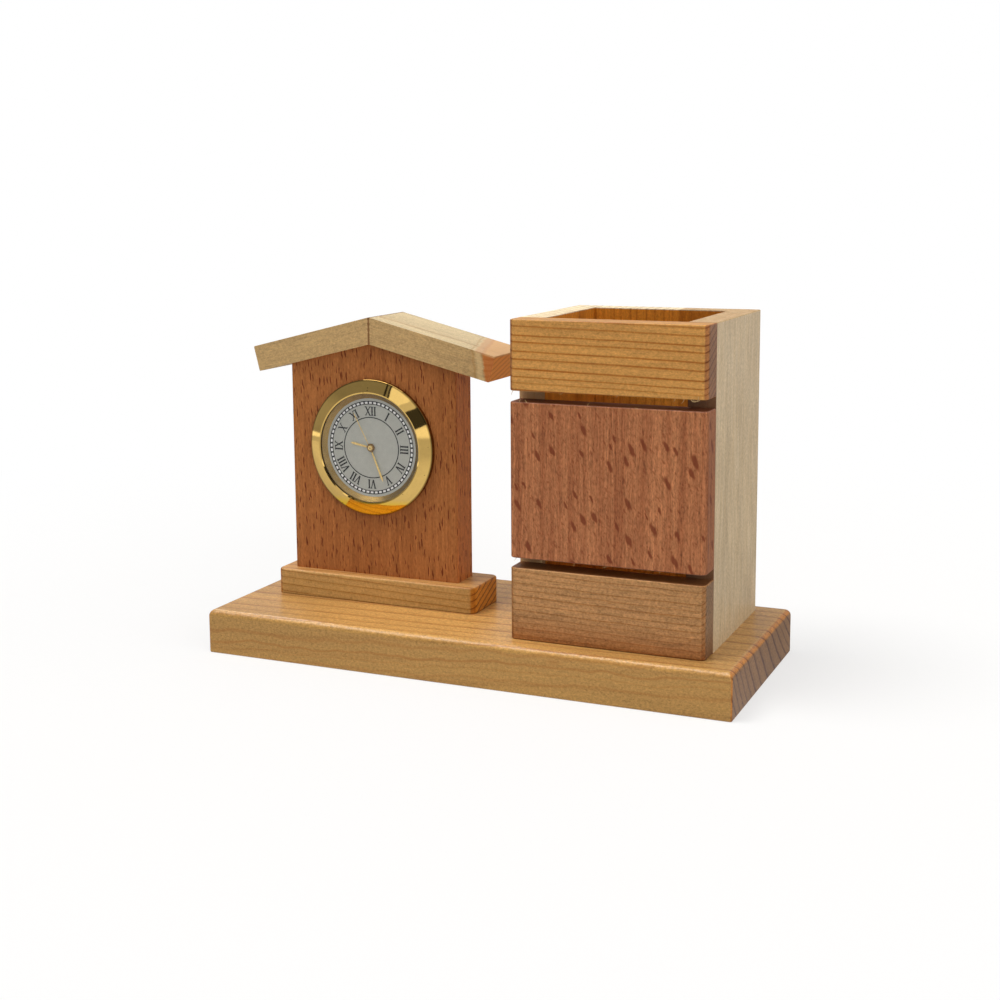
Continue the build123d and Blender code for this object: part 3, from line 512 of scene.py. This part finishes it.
def base_marks_and_painted_sheen(shader, colour):
    """Faint wavy lines and an orange mark on the base's front, and on its top a painted sheen in the middle
    and painted shade towards its ends.
    """
    x, z = (shader.split(shader.place)[axis] for axis in "XZ")
    wave = shader.swing(shader.noise(shader.place, (0.07, 0.07, 0.1)), -0.9, 0.9)
    height = shader.math("SUBTRACT", z, shader.math("MULTIPLY_ADD", x, FRONT_RISE, wave))
    mark = 0.0
    for middle, width, share in FRONT_LINES:
        off = shader.math("ABSOLUTE", shader.math("SUBTRACT", height, middle))
        mark = shader.math("MAXIMUM", mark, shader.spread(off, width, width * 0.2, 0, share))
    patch = shader.vector("LENGTH", shader.joined(
        shader.math("MULTIPLY", shader.math("SUBTRACT", x, FRONT_MARK[0]), 0.3),
        shader.math("SUBTRACT", z, FRONT_MARK[1]), 0))
    mark = shader.math("MAXIMUM", mark, shader.spread(patch, 0.9, 0.2, 0, 0.4))
    mark = shader.math("MULTIPLY", mark, shader.spread(shader.facing("Y"), -0.5, -0.95))
    colour = shader.mix(mark, colour, tone(164, 104, 46))
    # Painted sheen and shade: the top is lighter near the middle and darker towards both ends
    reach = shader.math("ABSOLUTE", shader.math("SUBTRACT", x, BASE_SHEEN_MIDDLE))
    upward = shader.spread(shader.facing("Z"), 0.8, 1.0)
    level = shader.spread(upward, 0, 1, 1.0, shader.spread(reach, *BASE_SHEEN_REACHES, *BASE_SHEEN_LEVELS))
    return shader.scaled(colour, level)


def even(first, gap, count, jitter, seed):
    """Places about one gap apart, each moved a little."""
    chance = random.Random(seed)
    return [first + gap * (number + chance.uniform(-jitter, jitter)) for number in range(count)]


# Reach of a pith that lies so far off that the rings are nearly flat
FAR = 300.0


def far_pith(through, slope):
    """Pith, as (Y, Z), of rings that rise by the slope towards the back, with one through a place."""
    length = (1 + slope * slope) ** 0.5
    return (through[0] + FAR * slope / length, through[1] - FAR / length)


def far_rings(heights, middle, share):
    """Reaches of nearly flat rings, from their heights on the front and the share that a slope leaves."""
    return [FAR + share * (height - middle) for height in heights]


# Reaches of the base's rings from its pith
BASE_RINGS = [80.5, 82.6, 85.1, 87.8, 90.4, 93.3, 96.9, 101.4, 106.6, 111.1, 115.6, 118.8, 121.8, 124.7,
              127.3, 130.2, 133.0, 136.0, 139.0]
base_pine = softwood(
    "base pine", ALONG_X, (78.5, 76.8), BASE_RINGS,
    [(201, 153, 87), (186, 122, 56), (138, 104, 74)],
    [(154, 94, 42), (112, 62, 26), (78, 46, 38)],
    drift=(0.0333, 66, 0.02), wave=0.35, front=0.3, fibre=0.06, grit=0.2, coat=0.45, coat_rough=0.12,
    speck=((0.5, 1.6, 1.6), 0.1, 0.93, (110, 70, 40)), front_rear_shade=(228, 228, 216), changes=(base_marks_and_painted_sheen,))
put_on(base_pine, "base_board")

PLINTH_RINGS = [FAR + step for step in
                (-16.5, -14.6, -12.6, -10.8, -9.0, -7.2, -5.3, -3.5, -1.77, 0.0, 1.55, 3.2, 4.9, 6.6)]
# The plinth gets a painted shadow along its foot
plinth_pine = softwood(
    "plinth pine", ALONG_X, far_pith((-7.7, 14.8), 0.49), PLINTH_RINGS,
    [(200, 150, 90), (190, 122, 44), (217, 149, 60)],
    [(158, 98, 42), (112, 58, 14), (92, 46, 12)],
    drift=(0.025, -3.85, 0), wave=0.12, strength=1.1, fibre=0.06, grit=0.16, front_rear_shade=(238, 248, 244),
    changes=(painted_foot_shadow,))
put_on(plinth_pine, "clock_plinth")

TOP_RINGS = far_rings(
    (68.0, 70.2, 72.0, 73.6, 75.3, 76.7, 78.6, 81.0, 82.9, 85.2, 86.8, 89.1, 91.0, 93.2, 95.5), 83.0, 0.894)
top_pine = softwood(
    "box top pine", ALONG_X, far_pith((-23.8, 83.5), 0.5), TOP_RINGS,
    [(200, 145, 75), (160, 104, 56), (132, 94, 66)],
    [(156, 84, 14), (112, 56, 14), (92, 50, 30)],
    drift=(0.02, 38, 0), wave=0.12, strength=1.1, ring=SHARP_LATEWOOD, fibre=0.09, grit=0.15,
    changes=(shaded_board_tops, warm_well_with_painted_light))
put_on(top_pine, "box_front_top")

LOW_RINGS = far_rings(even(-22, 1.62, 26, 0.15, 4), 0, 0.743)
low_pine = softwood(
    "box low pine", ALONG_X, far_pith((-23.8, 20), 0.9), LOW_RINGS,
    [(178, 131, 82), (154, 108, 64), (132, 102, 74)],
    [(142, 88, 42), (130, 76, 32), (96, 66, 42)],
    drift=(0.015, 38, 0), wave=0.2, fibre=0.15, grit=0.22,
    speck=((0.35, 1.4, 1.4), 0.2, 0.84, (150, 88, 36)), changes=(low_shade, shaded_board_tops, warm_well_with_painted_light))
put_on(low_pine, "box_front_low")

side_pine = softwood(
    "box side pine", UPRIGHT, (20, 190), even(112, 2.3, 54, 0.2, 8),
    [(221, 203, 173), (206, 180, 136), (246, 226, 188)],
    [(172, 145, 104), (180, 146, 100), (182, 142, 92)],
    wave=0.25, fibre=0.13, grit=0.15, speck=((0.9, 0.9, 0.12), 0.06, 0.985, (110, 80, 50)),
    changes=(panel_ends_with_shade, warm_well_with_painted_light))
put_on(side_pine, "box_side_left", "box_side_right", "box_back")


def ridge_seam(shader, colour):
    """Brown glue line where the two roof boards meet."""
    x = shader.split(shader.place)["X"]
    ragged = shader.noise(shader.place, (0, 0, 1.4), 3.0, 0.7)
    off = shader.math("SUBTRACT", shader.math("ABSOLUTE", shader.math("SUBTRACT", x, RIDGE.x)),
                      shader.swing(ragged, 0.08, 0.42))
    return shader.mix(shader.spread(off, 0.12, -0.05, 0, 0.8), colour, tone(112, 66, 34))


# Distance down the slope of the heartwood's edge at the roof's underside, how much nearer to the
# ridge it is on top, and how far it leans for each millimetre towards the back
HEART_EDGE, HEART_LEAD, HEART_LEAN = 36.6, -2.5, -0.3
# Middle of the small knot, down the slope and below the surface
KNOT = (34.4, 0.6)


def roof_end(shader, colour):
    """Seam at the ridge, and an orange wedge of heartwood at the eave with a pale band before it."""
    colour = ridge_seam(shader, colour)
    lean = radians(ROOF_PITCH)
    offset = shader.vector("SUBTRACT", shader.place, RIDGE)
    slope = shader.vector("DOT_PRODUCT", offset, (cos(lean), 0, -sin(lean)))
    deep = shader.vector("DOT_PRODUCT", offset, (-sin(lean), 0, -cos(lean)))
    bend = shader.noise(shader.place, (0.3, 0.3, 0.5))
    rest = shader.math("POWER", shader.spread(deep, 0, ROOF_THICK, 1.0, 0.0), 1.1)
    edge = shader.math("MULTIPLY_ADD", rest, HEART_LEAD, HEART_EDGE)
    edge = shader.math("MULTIPLY_ADD", shader.split(offset)["Y"], HEART_LEAN, edge)
    beyond = shader.math("SUBTRACT", slope, shader.math("ADD", edge, shader.swing(bend, -0.25, 0.25)))

    pale = shader.stripe(beyond, -1.7, -0.7, 0.7, 0.5)
    colour = shader.mix(shader.math("MULTIPLY", pale, 0.5), colour, tone(226, 196, 144))
    arc = shader.stripe(beyond, -2.9, -2.8, 0.4, 0.4)
    colour = shader.mix(shader.math("MULTIPLY", arc, 0.4), colour, tone(170, 120, 64))
    knot = shader.vector("LENGTH", shader.vector("SUBTRACT", shader.joined(slope, deep, 0), (*KNOT, 0)))
    colour = shader.mix(shader.spread(knot, 0.9, 0.2, 0, 0.5), colour, tone(164, 100, 48))

    wedge = shader.spread(beyond, -0.3, 0.3)
    endward = shader.spread(shader.facing("X"), 0.6, 0.9)
    heart = shader.mix(endward, tone(200, 108, 34), tone(248, 168, 72))
    heart = shader.mix(shader.spread(deep, 0.6, 0.2), heart, tone(220, 168, 112))
    colour = shader.mix(shader.math("MULTIPLY", wedge, 0.8), colour, heart)
    upper = shader.product(shader.spread(deep, 0.5, 0.2), shader.spread(beyond, -2.2, -1.4),
                           shader.spread(beyond, 1.0, 0.6, 0, 0.6))
    colour = shader.mix(upper, colour, tone(204, 150, 108))
    bent = shader.vector("ADD", offset, shader.joined(0, bend, 0))
    across = shader.vector("DOT_PRODUCT", bent, (0, -1.5, 4.2))
    rings = shader.product(shader.spread(shader.math("SINE", across), -0.2, 1.0), wedge,
                           shader.spread(deep, 0.1, 0.5, 0, 0.4))
    return shader.mix(rings, colour, tone(178, 92, 36))


ROOF_RINGS = even(90, 1.5, 68, 0.25, 11)
roof_left_pine = softwood(
    "roof left pine", ROOF_PITCH, (20, -40), ROOF_RINGS,
    [(212, 190, 148), (206, 168, 112), (190, 136, 96)],
    [(192, 160, 112), (180, 134, 84), (164, 104, 66)],
    strength=0.6, front=0.25, fibre=0.08, grit=0.15, front_rear_shade=(232, 214, 188), changes=(ridge_seam,))
put_on(roof_left_pine, "roof_board_left")
roof_right_pine = softwood(
    "roof right pine", -ROOF_PITCH, (20, -60), ROOF_RINGS,
    [(212, 190, 148), (206, 168, 112), (206, 124, 60)],
    [(160, 114, 68), (180, 128, 76), (150, 72, 26)],
    front=0.2, fibre=0.1, grit=0.15, front_rear_shade=(232, 214, 188), changes=(roof_end,))
put_on(roof_right_pine, "roof_board_right")

# side=1.4 paints light on the house's left and right faces
house_beech = beech(
    "house beech", [(176, 111, 60), (172, 104, 58)], [(152, 91, 46), (142, 80, 40)], (102, 44, 16),
    [((0.95, 7.6), 0.17, -3, 0.85, 0.95), ((0.8, 3.6), 0.1, -3, 0.5, 0.45)],
    streak=0.5, bands=1.0, side=1.4)
put_on(house_beech, "house_board")
# side=0.72 paints shade on the board's left and right faces
middle_beech = beech(
    "box middle beech", [(184, 121, 80), (160, 112, 88)], [(150, 90, 57), (128, 82, 62)], (114, 52, 28),
    [((3.3, 9.6), 0.72, -26, 0.72, 0.85), ((1.6, 5.6), 0.24, -28, 0.6, 0.5),
     ((0.8, 2.4), 0.16, -30, 0.8, 0.4)],
    streak=0.8, bands=0.8, soft=0.55, side=0.72, changes=(shaded_board_tops, warm_well_with_painted_light))
put_on(middle_beech, "box_front_middle")


def from_axis(shader):
    """Place from the axis of the clock, with the depth left out."""
    offset = shader.vector("SUBTRACT", shader.place, CLOCK - PATTERN_ORIGIN)
    return shader.vector("MULTIPLY", offset, (1, 0, 1))


def bezel_reflection_shade_and_specks(shader, colour):
    """Gilding with a painted reflection of the wood, warmer, at the bezel's foot, painted shade, brown, at
    its rim, and a few dark specks.
    """
    offset = from_axis(shader)
    # Painted reflection: the lower bezel takes the orange of the wood below it
    low = shader.spread(shader.split(offset)["Z"], -13.5, -15.5, 0, 0.9)
    colour = shader.mix(low, colour, tone(246, 198, 50))
    # Painted shade: the outer rim is turned dark brown
    rim = shader.spread(shader.vector("LENGTH", offset), 18.0, 18.35, 0, 0.8)
    colour = shader.mix(rim, colour, tone(92, 66, 26))
    return specked(shader, colour, shader.place, (0.8, 0.8, 0.8), 0.16, 0.8, (70, 48, 20), 0.8)


def painted_hub_shade(shader, colour):
    """Painted shade, brown, on the hands' metal round their axis."""
    reach = shader.vector("LENGTH", from_axis(shader))
    brown = shader.product(shader.spread(reach, 1.4, 1.2, 0, 0.85), shader.spread(reach, 0.6, 0.7))
    return shader.mix(brown, colour, tone(120, 84, 40))


# Finishes of the clock: colour, roughness, metallic share, grain, change and rise
gold = plain("gilt brass", (230, 191, 111), 0.035, 1.0, 1.2, 0.02, 0.004, changes=(bezel_reflection_shade_and_specks,))
put_on(gold, "bezel")
ring_gold = plain("brushed brass", (167, 137, 80), 0.33, 1.0, 0.8, 0.06, 0.004)
put_on(ring_gold, "dial_ring")
hand_gold = plain("hand gilt", (254, 220, 140), 0.22, 0.2, 2.0, 0.03, 0.005, changes=(painted_hub_shade,))
put_on(hand_gold, "hour_hand", "minute_hand", "second_hand")
dial_grey = plain("dial paint", (186, 187, 178), 0.5, 0.0, 6.0, 0.02, 0.006)
put_on(dial_grey, "dial")
black_case = plain("black case", (30, 30, 31), 0.42, 0.0, 3.0, 0.12)
put_on(black_case, "case_cup", "battery_hatch", "setting_knob")
rubber = plain("grip rubber", (38, 37, 36), 0.62, 0.0, 4.0, 0.1)
put_on(rubber, "grip_band")
steel = plain("screw steel", (196, 192, 184), 0.28, 1.0, 3.0)
put_on(steel, "house_screws", "bridge_screws", "coil_screws", "button_cell", "cell_contact_negative",
       "cell_contact_positive", "stator", "coil_core")
plate_white = plain("plate plastic", (206, 204, 194), 0.45, 0.0, 2.0, 0.04)
put_on(plate_white, "main_plate", "train_bridge")
wheel_white = plain("wheel plastic", (226, 222, 206), 0.4, 0.0, 2.0, 0.03)
put_on(wheel_white, "second_wheel", "third_wheel", "centre_wheel", "intermediate_wheel", "rotor_pinion")
wheel_brass = plain("wheel brass", (208, 178, 110), 0.3, 1.0, 2.0, 0.06)
put_on(wheel_brass, "hour_wheel", "minute_wheel")
magnet = plain("magnet", (70, 68, 70), 0.45, 0.6, 3.0)
put_on(magnet, "rotor_magnet")
copper = plain("copper wire", (190, 98, 52), 0.35, 1.0, 3.0, 0.1, stretch=(1, 1, 7))
put_on(copper, "coil_winding")
laminate = plain("board laminate", (30, 92, 58), 0.5, 0.0, 2.5)
put_on(laminate, "circuit_board")
resin = plain("chip resin", (22, 22, 24), 0.3, 0.0, 2.5)
put_on(resin, "driver_chip")
can = plain("crystal can", (200, 198, 190), 0.25, 1.0, 2.5)
put_on(can, "quartz_crystal")


def clear_glass():
    """Clear pane whose gloss grows towards its edge-on views, alike from both of its faces."""
    shader = Shader("lens glass")
    wipe = shader.swing(shader.noise(shader.place, 0.25), 0.02, 0.06)
    mirror = shader.node("BsdfGlossy", {"Roughness": wipe}).outputs[0]
    edge_on = shader.math("POWER", shader.node("LayerWeight", {"Blend": 0.5}).outputs["Facing"], 5.0)
    share = shader.math("ADD", 0.03, shader.math("MULTIPLY", edge_on, 0.9))
    shader.show(shader.blend(share, shader.node("BsdfTransparent").outputs[0], mirror))
    return shader.material


put_on(clear_glass(), "lens")


def piece(name, shapes, material, body):
    """Object of its own, from the shapes made for it, that rides on a body."""
    bmesh.ops.recalc_face_normals(shapes, faces=shapes.faces)
    mesh = bpy.data.meshes.new(name)
    shapes.to_mesh(mesh)
    shapes.free()
    mesh.materials.append(material)
    made = bpy.data.objects.new(name, mesh)
    bpy.context.scene.collection.objects.link(made)
    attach(made, body)


def clock_point(x, y, height):
    """Place in metres of a point in the clock's own plane."""
    return (CLOCK + Vector((x, -height, y))) * MM


class Print:
    """Flat printed shapes with a little body, on the clock's own plane."""

    def __init__(self, low, high):
        self.low, self.high = low, high
        self.mesh = bmesh.new()

    def shape(self, points):
        """One closed outline, anticlockwise as seen from the front."""
        made = self.mesh
        below, above = [[made.verts.new(clock_point(x, y, height)) for x, y in points]
                        for height in (self.low, self.high)]
        made.faces.new(above)
        for number in range(len(points)):
            after = (number + 1) % len(points)
            made.faces.new((below[number], below[after], above[after], above[number]))

    def ring(self, inner, outer, segments=180):
        """Band round the clock's axis, open at the back."""
        made = self.mesh
        profile = [(inner, self.high), (outer, self.high), (outer, self.low), (inner, self.low)]
        rows = []
        for number in range(segments):
            angle = 2 * pi * number / segments
            rows.append([made.verts.new(clock_point(reach * cos(angle), reach * sin(angle), height))
                         for reach, height in profile])
        for one, two in zip(rows, rows[1:] + rows[:1]):
            for side in range(3):
                made.faces.new((one[side], one[side + 1], two[side + 1], two[side]))


def sliver(made, start, angle, curl, length, width, lean):
    """Thin curved splinter that tapers from its start; it curls on its way and leans to the front."""
    rows, place, steps = [], Vector(start), 10
    deep = Vector((0, 0.05, 0))
    for number in range(steps + 1):
        way = radians(angle + curl * number / steps)
        forward = Vector((cos(way), -sin(radians(lean)), sin(way)))
        across = Vector((-sin(way), 0, cos(way))) * width * (1 - 0.8 * number / steps) / 2
        rows.append([made.verts.new((place + a + b) * MM) for a, b in
                     ((across, deep), (across, -deep), (-across, -deep), (-across, deep))])
        place = place + forward.normalized() * length / steps
    for one, two in zip(rows, rows[1:]):
        for side in range(4):
            after = (side + 1) % 4
            made.faces.new((one[side], one[after], two[after], two[side]))
    made.faces.new(rows[0][::-1])
    made.faces.new(rows[-1])


# Torn fibres that the saw left along the gaps of the box's front: they start a little inside the
# edges of the boards, and most point up or down with a random swing
top_low = front_wall[0]
middle_low, middle_high = corners("box_front_middle")
splinters = bmesh.new()
chance = random.Random(21)


def fibre(place, way, swing, curl, lengths, width, lean=8):
    """Short splinter with a random direction, bend and length."""
    sliver(splinters, place, way + chance.uniform(-swing, swing), chance.uniform(-curl, curl),
           chance.uniform(*lengths), width, lean)


long_start = top_low + Vector((0, 0.3, 0.2))
sliver(splinters, (59.4, *long_start.yz), -60, 175, 3.2, 0.2, 6)
sliver(splinters, (61.8, *long_start.yz), -125, -120, 2.2, 0.16, 6)
for x, way in ((14.6, -90), (16.2, 90), (18.4, 90), (27.5, -90), (34.0, 90), (41.5, -90), (47.0, 90),
               (55.6, -90), (57.8, -90)):
    edge = middle_high.z - 0.3 if way > 0 else top_low.z + 0.1
    fibre((x, top_low.y + 0.25, edge), way, 55, 90, (0.7, 1.5), 0.12)
for x in (15.2, 22.0, 30.5, 38.8, 52.4):
    fibre((x, middle_low.y + 0.25, middle_low.z + 0.1), -90, 50, 80, (0.6, 1.2), 0.11)
fibre_pale = plain("torn fibre", (214, 178, 124), 0.6, 0.0, 3.0, 0.06)
piece("gap_splinters", splinters, fibre_pale, "stand")

# Dial printing: white ground and bars of the minute track, a circle, and numerals with their feet
# towards the centre; the print starts just below the dial's face, and the ink lies over the white
ink = plain("dial ink", (12, 12, 14), 0.45, 0.0, 6.0, 0.1, 0.004)
white_ink = plain("dial white", (246, 246, 244), 0.5, 0.0, 6.0, 0.02, 0.004)
PRINT_FOOT, WHITE_TOP, INK_TOP = -0.01, 0.012, 0.022
TRACK_IN, TRACK_OUT, TRACK_LINE, TRACK_LAP = 11.78, 12.74, 0.2, 0.02
BAR_WIDTH, BAR_INSET = 0.44, 0.1
CIRCLE_IN, CIRCLE_OUT = 8.1, 8.38
track = Print(DIAL_FRONT + PRINT_FOOT, DIAL_FRONT + WHITE_TOP)
track.ring(TRACK_IN, TRACK_OUT)
piece("dial_track_ground", track.mesh, white_ink, "clock_insert")
marks = Print(DIAL_FRONT + PRINT_FOOT, DIAL_FRONT + INK_TOP)
marks.ring(TRACK_OUT - TRACK_LINE - TRACK_LAP, TRACK_OUT + TRACK_LAP)
marks.ring(TRACK_IN - TRACK_LAP, TRACK_IN + TRACK_LINE)
marks.ring(CIRCLE_IN, CIRCLE_OUT)


def clockwise(x, y, angle):
    """A point turned clockwise from twelve o'clock."""
    a = radians(angle)
    return (x * cos(a) + y * sin(a), -x * sin(a) + y * cos(a))


def bar(x0, y0, x1, y1, width, angle):
    """Upright or slanted stroke between two heights; its ends stay level."""
    half = width / 2
    outline = [(x0 - half, y0), (x0 + half, y0), (x1 + half, y1), (x1 - half, y1)]
    marks.shape([clockwise(x, y, angle) for x, y in outline])


for minute in range(60):
    bar(0, TRACK_IN + BAR_INSET, 0, TRACK_OUT - BAR_INSET, BAR_WIDTH, minute * 6 + 3)

NUMERAL_LOW, NUMERAL_HIGH = 8.74, 11.2
THICK, THIN, SERIF = 0.42, 0.26, 0.2
SIGN_WIDTHS = {"I": 0.84, "V": 1.62, "X": 1.72}
SIGN_MARGIN = 0.22
# Widths of the serifs on a sign's thick and thin stroke
SERIF_WIDTHS = {"I": (0.66, 0.66), "V": (0.66, 0.56), "X": (0.6, 0.54)}


def numeral(text, angle):
    """Roman numeral with thin serifs, its foot towards the centre."""
    start = -sum(SIGN_WIDTHS[sign] for sign in text) / 2
    low, high, top = NUMERAL_LOW, NUMERAL_HIGH, NUMERAL_HIGH - SERIF
    for sign in text:
        middle = start + SIGN_WIDTHS[sign] / 2
        reach = SIGN_WIDTHS[sign] / 2 - SIGN_MARGIN
        left, right = middle - reach, middle + reach
        wide, narrow = SERIF_WIDTHS[sign]
        if sign == "I":
            bar(middle, low, middle, high, THICK, angle)
            ends = [(middle, low, wide), (middle, top, narrow)]
        elif sign == "V":
            bar(middle, low, left, high, THICK, angle)
            bar(middle, low, right, high, THIN, angle)
            ends = [(left, top, wide), (right, top, narrow)]
        else:
            bar(right, low, left, high, THICK, angle)
            bar(left, low, right, high, THIN, angle)
            ends = [(right, low, wide), (left, low, narrow), (left, top, wide), (right, top, narrow)]
        for x, y, width in ends:
            bar(x, y, x, y + SERIF, width, angle)
        start += SIGN_WIDTHS[sign]


for hour, text in enumerate(["XII", "I", "II", "III", "IV", "V", "VI", "VII", "VIII", "IX", "X", "XI"]):
    numeral(text, hour * 30)
piece("dial_print", marks.mesh, ink, "clock_insert")

# Dark end of the arbor in the middle of the second hand
ARBOR_RADIUS, ARBOR_RISE = 0.16, 0.02
hand_front = CLOCK.y - corners("second_hand")[0].y
arbor_dot = Print(hand_front + PRINT_FOOT, hand_front + ARBOR_RISE)
dot_angles = [radians(angle) for angle in range(0, 360, 30)]
arbor_dot.shape([(ARBOR_RADIUS * cos(angle), ARBOR_RADIUS * sin(angle)) for angle in dot_angles])
piece("arbor_dot", arbor_dot.mesh, ink, "second_arbor")

# Camera, at the photograph's place: it looks at the target from a distance, with a shifted frame
YAW, PITCH, ROLL = radians(23.44), radians(8.19), radians(-0.35)
TARGET, DISTANCE = Vector((-1.0, 8.0, 64.78)), 405.77
SENSOR, LENS, SHIFT = 36, 54.54, (-0.0061, -0.0911)
back = Vector((sin(YAW) * cos(PITCH), -cos(YAW) * cos(PITCH), sin(PITCH)))
right = (-back).cross(Vector((0, 0, 1))).normalized()
up = right.cross(-back)
axis_x = cos(ROLL) * right + sin(ROLL) * up
axis_y = -sin(ROLL) * right + cos(ROLL) * up
camera = bpy.data.objects.new("camera", bpy.data.cameras.new("camera"))
bpy.context.scene.collection.objects.link(camera)
turn = Matrix((axis_x, axis_y, back)).transposed().to_4x4()
camera.matrix_world = Matrix.Translation((TARGET + back * DISTANCE) * MM) @ turn
camera.data.sensor_width = SENSOR
camera.data.lens = LENS
camera.data.shift_x, camera.data.shift_y = SHIFT
camera.data.clip_start, camera.data.clip_end = 0.01, 50
bpy.context.scene.camera = camera
bpy.context.scene.view_settings.view_transform = "Standard"

FLOOR_RADIUS = 460
FLOOR_SIDES = 96
# Depths on the floor and the levels that gloss sees there: more towards the part, less behind it
GLOSS_NEAR = (-230.0, -90.0, 0.61, 0.84)
GLOSS_BEHIND = (-60.0, 40.0, 1.0, 0.35)


def floor_material():
    """Pale floor for light, nearly white with the part's shadow for the camera, and dimmer for gloss."""
    shader = Shader("floor")
    cloud = shader.mix(shader.noise(shader.place, 0.01), grey(0.6), grey(0.57))
    light = shader.node("BsdfDiffuse", {"Color": cloud}).outputs[0]
    shaded = shader.node("BsdfDiffuse", {"Color": grey(0.84)}).outputs[0]
    glow = shader.node("Emission", {"Color": WHITE}).outputs[0]
    reach = shader.math("DIVIDE", shader.vector("LENGTH", shader.place), FLOOR_RADIUS)
    shown = shader.blend(shader.spread(reach, 0.3, 0.75, 0.6, 1.0), shaded, glow)
    depth = shader.split(shader.place)["Y"]
    level = shader.product(shader.spread(depth, *GLOSS_NEAR), shader.spread(depth, *GLOSS_BEHIND))
    mirrored = shader.node("Emission", {"Color": WHITE, "Strength": level}).outputs[0]
    shader.show(shader.by_ray(light, shown, mirrored))
    return shader.material


floor_mesh = bpy.data.meshes.new("floor")
turns = [2 * pi * number / FLOOR_SIDES for number in range(FLOOR_SIDES)]
rim = [(FLOOR_RADIUS * MM * cos(angle), FLOOR_RADIUS * MM * sin(angle), 0) for angle in turns]
floor_mesh.from_pydata(rim, [], [tuple(range(FLOOR_SIDES))])
floor_mesh.materials.append(floor_material())
floor = bpy.data.objects.new("floor", floor_mesh)
bpy.context.scene.collection.objects.link(floor)


class Studio(Nodes):
    """The world's nodes, with the direction of a ray as azimuth and elevation."""

    def __init__(self, tree):
        super().__init__(tree, "OutputWorld")
        x, y, z = self.split(self.node("TexCoord").outputs["Generated"])
        self.azimuth = self.math("DEGREES", self.math("ARCTAN2", x, self.math("MULTIPLY", y, -1.0)))
        self.elevation = self.math("DEGREES", self.math("ARCSINE", z))

    def band(self, value, low, high, soft):
        rise = self.spread(value, low - soft, low + soft)
        return self.math("MULTIPLY", rise, self.spread(value, high - soft, high + soft, 1.0, 0.0))

    def background(self, colour, strength):
        return self.node("Background", {"Color": colour, "Strength": strength}).outputs[0]

    def walls(self):
        """Brightness of the room around the part, for gloss alone: dim walls, a window and the camera.

        Each zone gives its level and two bands, one across and one up: the angle that a band is
        measured in, its low and high end and how soft they are. A later zone covers those before.
        """
        azimuth, elevation = self.azimuth, self.elevation
        tilted = self.math("SUBTRACT", elevation, self.math("MULTIPLY", azimuth, 0.45))
        zones = [
            (0.62, (azimuth, -400, 400, 1.0), (elevation, -91, 0, 1.0)),
            (0.27, (azimuth, -112, -13, 1.5), (elevation, -3.0, 60, 0.8)),
            (0.38, (azimuth, -112, -44, 8.0), (elevation, -3.0, 16, 4.0)),
            (1.35, (azimuth, -100, -60, 4.0), (elevation, -5.4, -3.4, 0.4)),
            (1.15, (azimuth, -13, 4, 0.6), (elevation, 12, 60, 2.0)),
            (0.72, (azimuth, -10, 14, 1.0), (tilted, 17.3, 24.0, 0.6)),
            (1.25, (azimuth, 6, 30, 2.0), (elevation, 1.0, 8, 1.0)),
            (0.05, (azimuth, -4, 32, 1.0), (tilted, 1.5, 17.3, 0.6)),
            (0.02, (azimuth, -18.0, -16.2, 0.3), (elevation, 10, 60, 2.0)),
            (0.02, (azimuth, -14.4, -12.8, 0.3), (elevation, 10, 60, 2.0)),
            (0.55, (azimuth, 50, 400, 4.0), (elevation, -90, 90, 1.0)),
            (0.45, (azimuth, -400, -112, 4.0), (elevation, -90, 40, 4.0)),
            (7.0, (azimuth, -150, -116, 6.0), (elevation, 40, 78, 8.0)),
        ]
        level = 1.0
        for value, across, up in zones:
            share = self.math("MULTIPLY", self.band(*across), self.band(*up))
            level = self.total(self.math("MULTIPLY", level, self.math("SUBTRACT", 1.0, share)),
                               self.math("MULTIPLY", share, value))
        return level


world = bpy.data.worlds.new("studio")
bpy.context.scene.world = world
world.use_nodes = True
studio = Studio(world.node_tree)
soft_light = studio.background((1.0, 0.985, 0.965, 1), 0.37)
room = studio.background(WHITE, studio.walls())
studio.show(studio.by_ray(soft_light, studio.background(WHITE, 1.0), room))


def lamp(name, azimuth, elevation, share, size, colour, mirrored=True):
    """Far soft box; its share is what it adds to the brightness of a white face turned to it."""
    data = bpy.data.lights.new(name, "SUN")
    data.energy = share * pi
    data.angle = radians(size)
    data.color = colour
    made = bpy.data.objects.new(name, data)
    a, e = radians(azimuth), radians(elevation)
    way = Vector((sin(a) * cos(e), -cos(a) * cos(e), sin(e)))
    made.rotation_mode = "QUATERNION"
    made.rotation_quaternion = way.to_track_quat("Z", "Y")
    made.visible_glossy = mirrored
    bpy.context.scene.collection.objects.link(made)


lamp("key", -58, 62, 0.52, 30, (1.0, 0.985, 0.96))
lamp("top", 20, 82, 0.22, 32, (1.0, 0.99, 0.97))
lamp("side", 84, 12, 0.38, 60, (1.0, 0.99, 0.98), mirrored=False)
lamp("front", 44, 24, 0.14, 30, (1.0, 0.99, 0.98), mirrored=False)
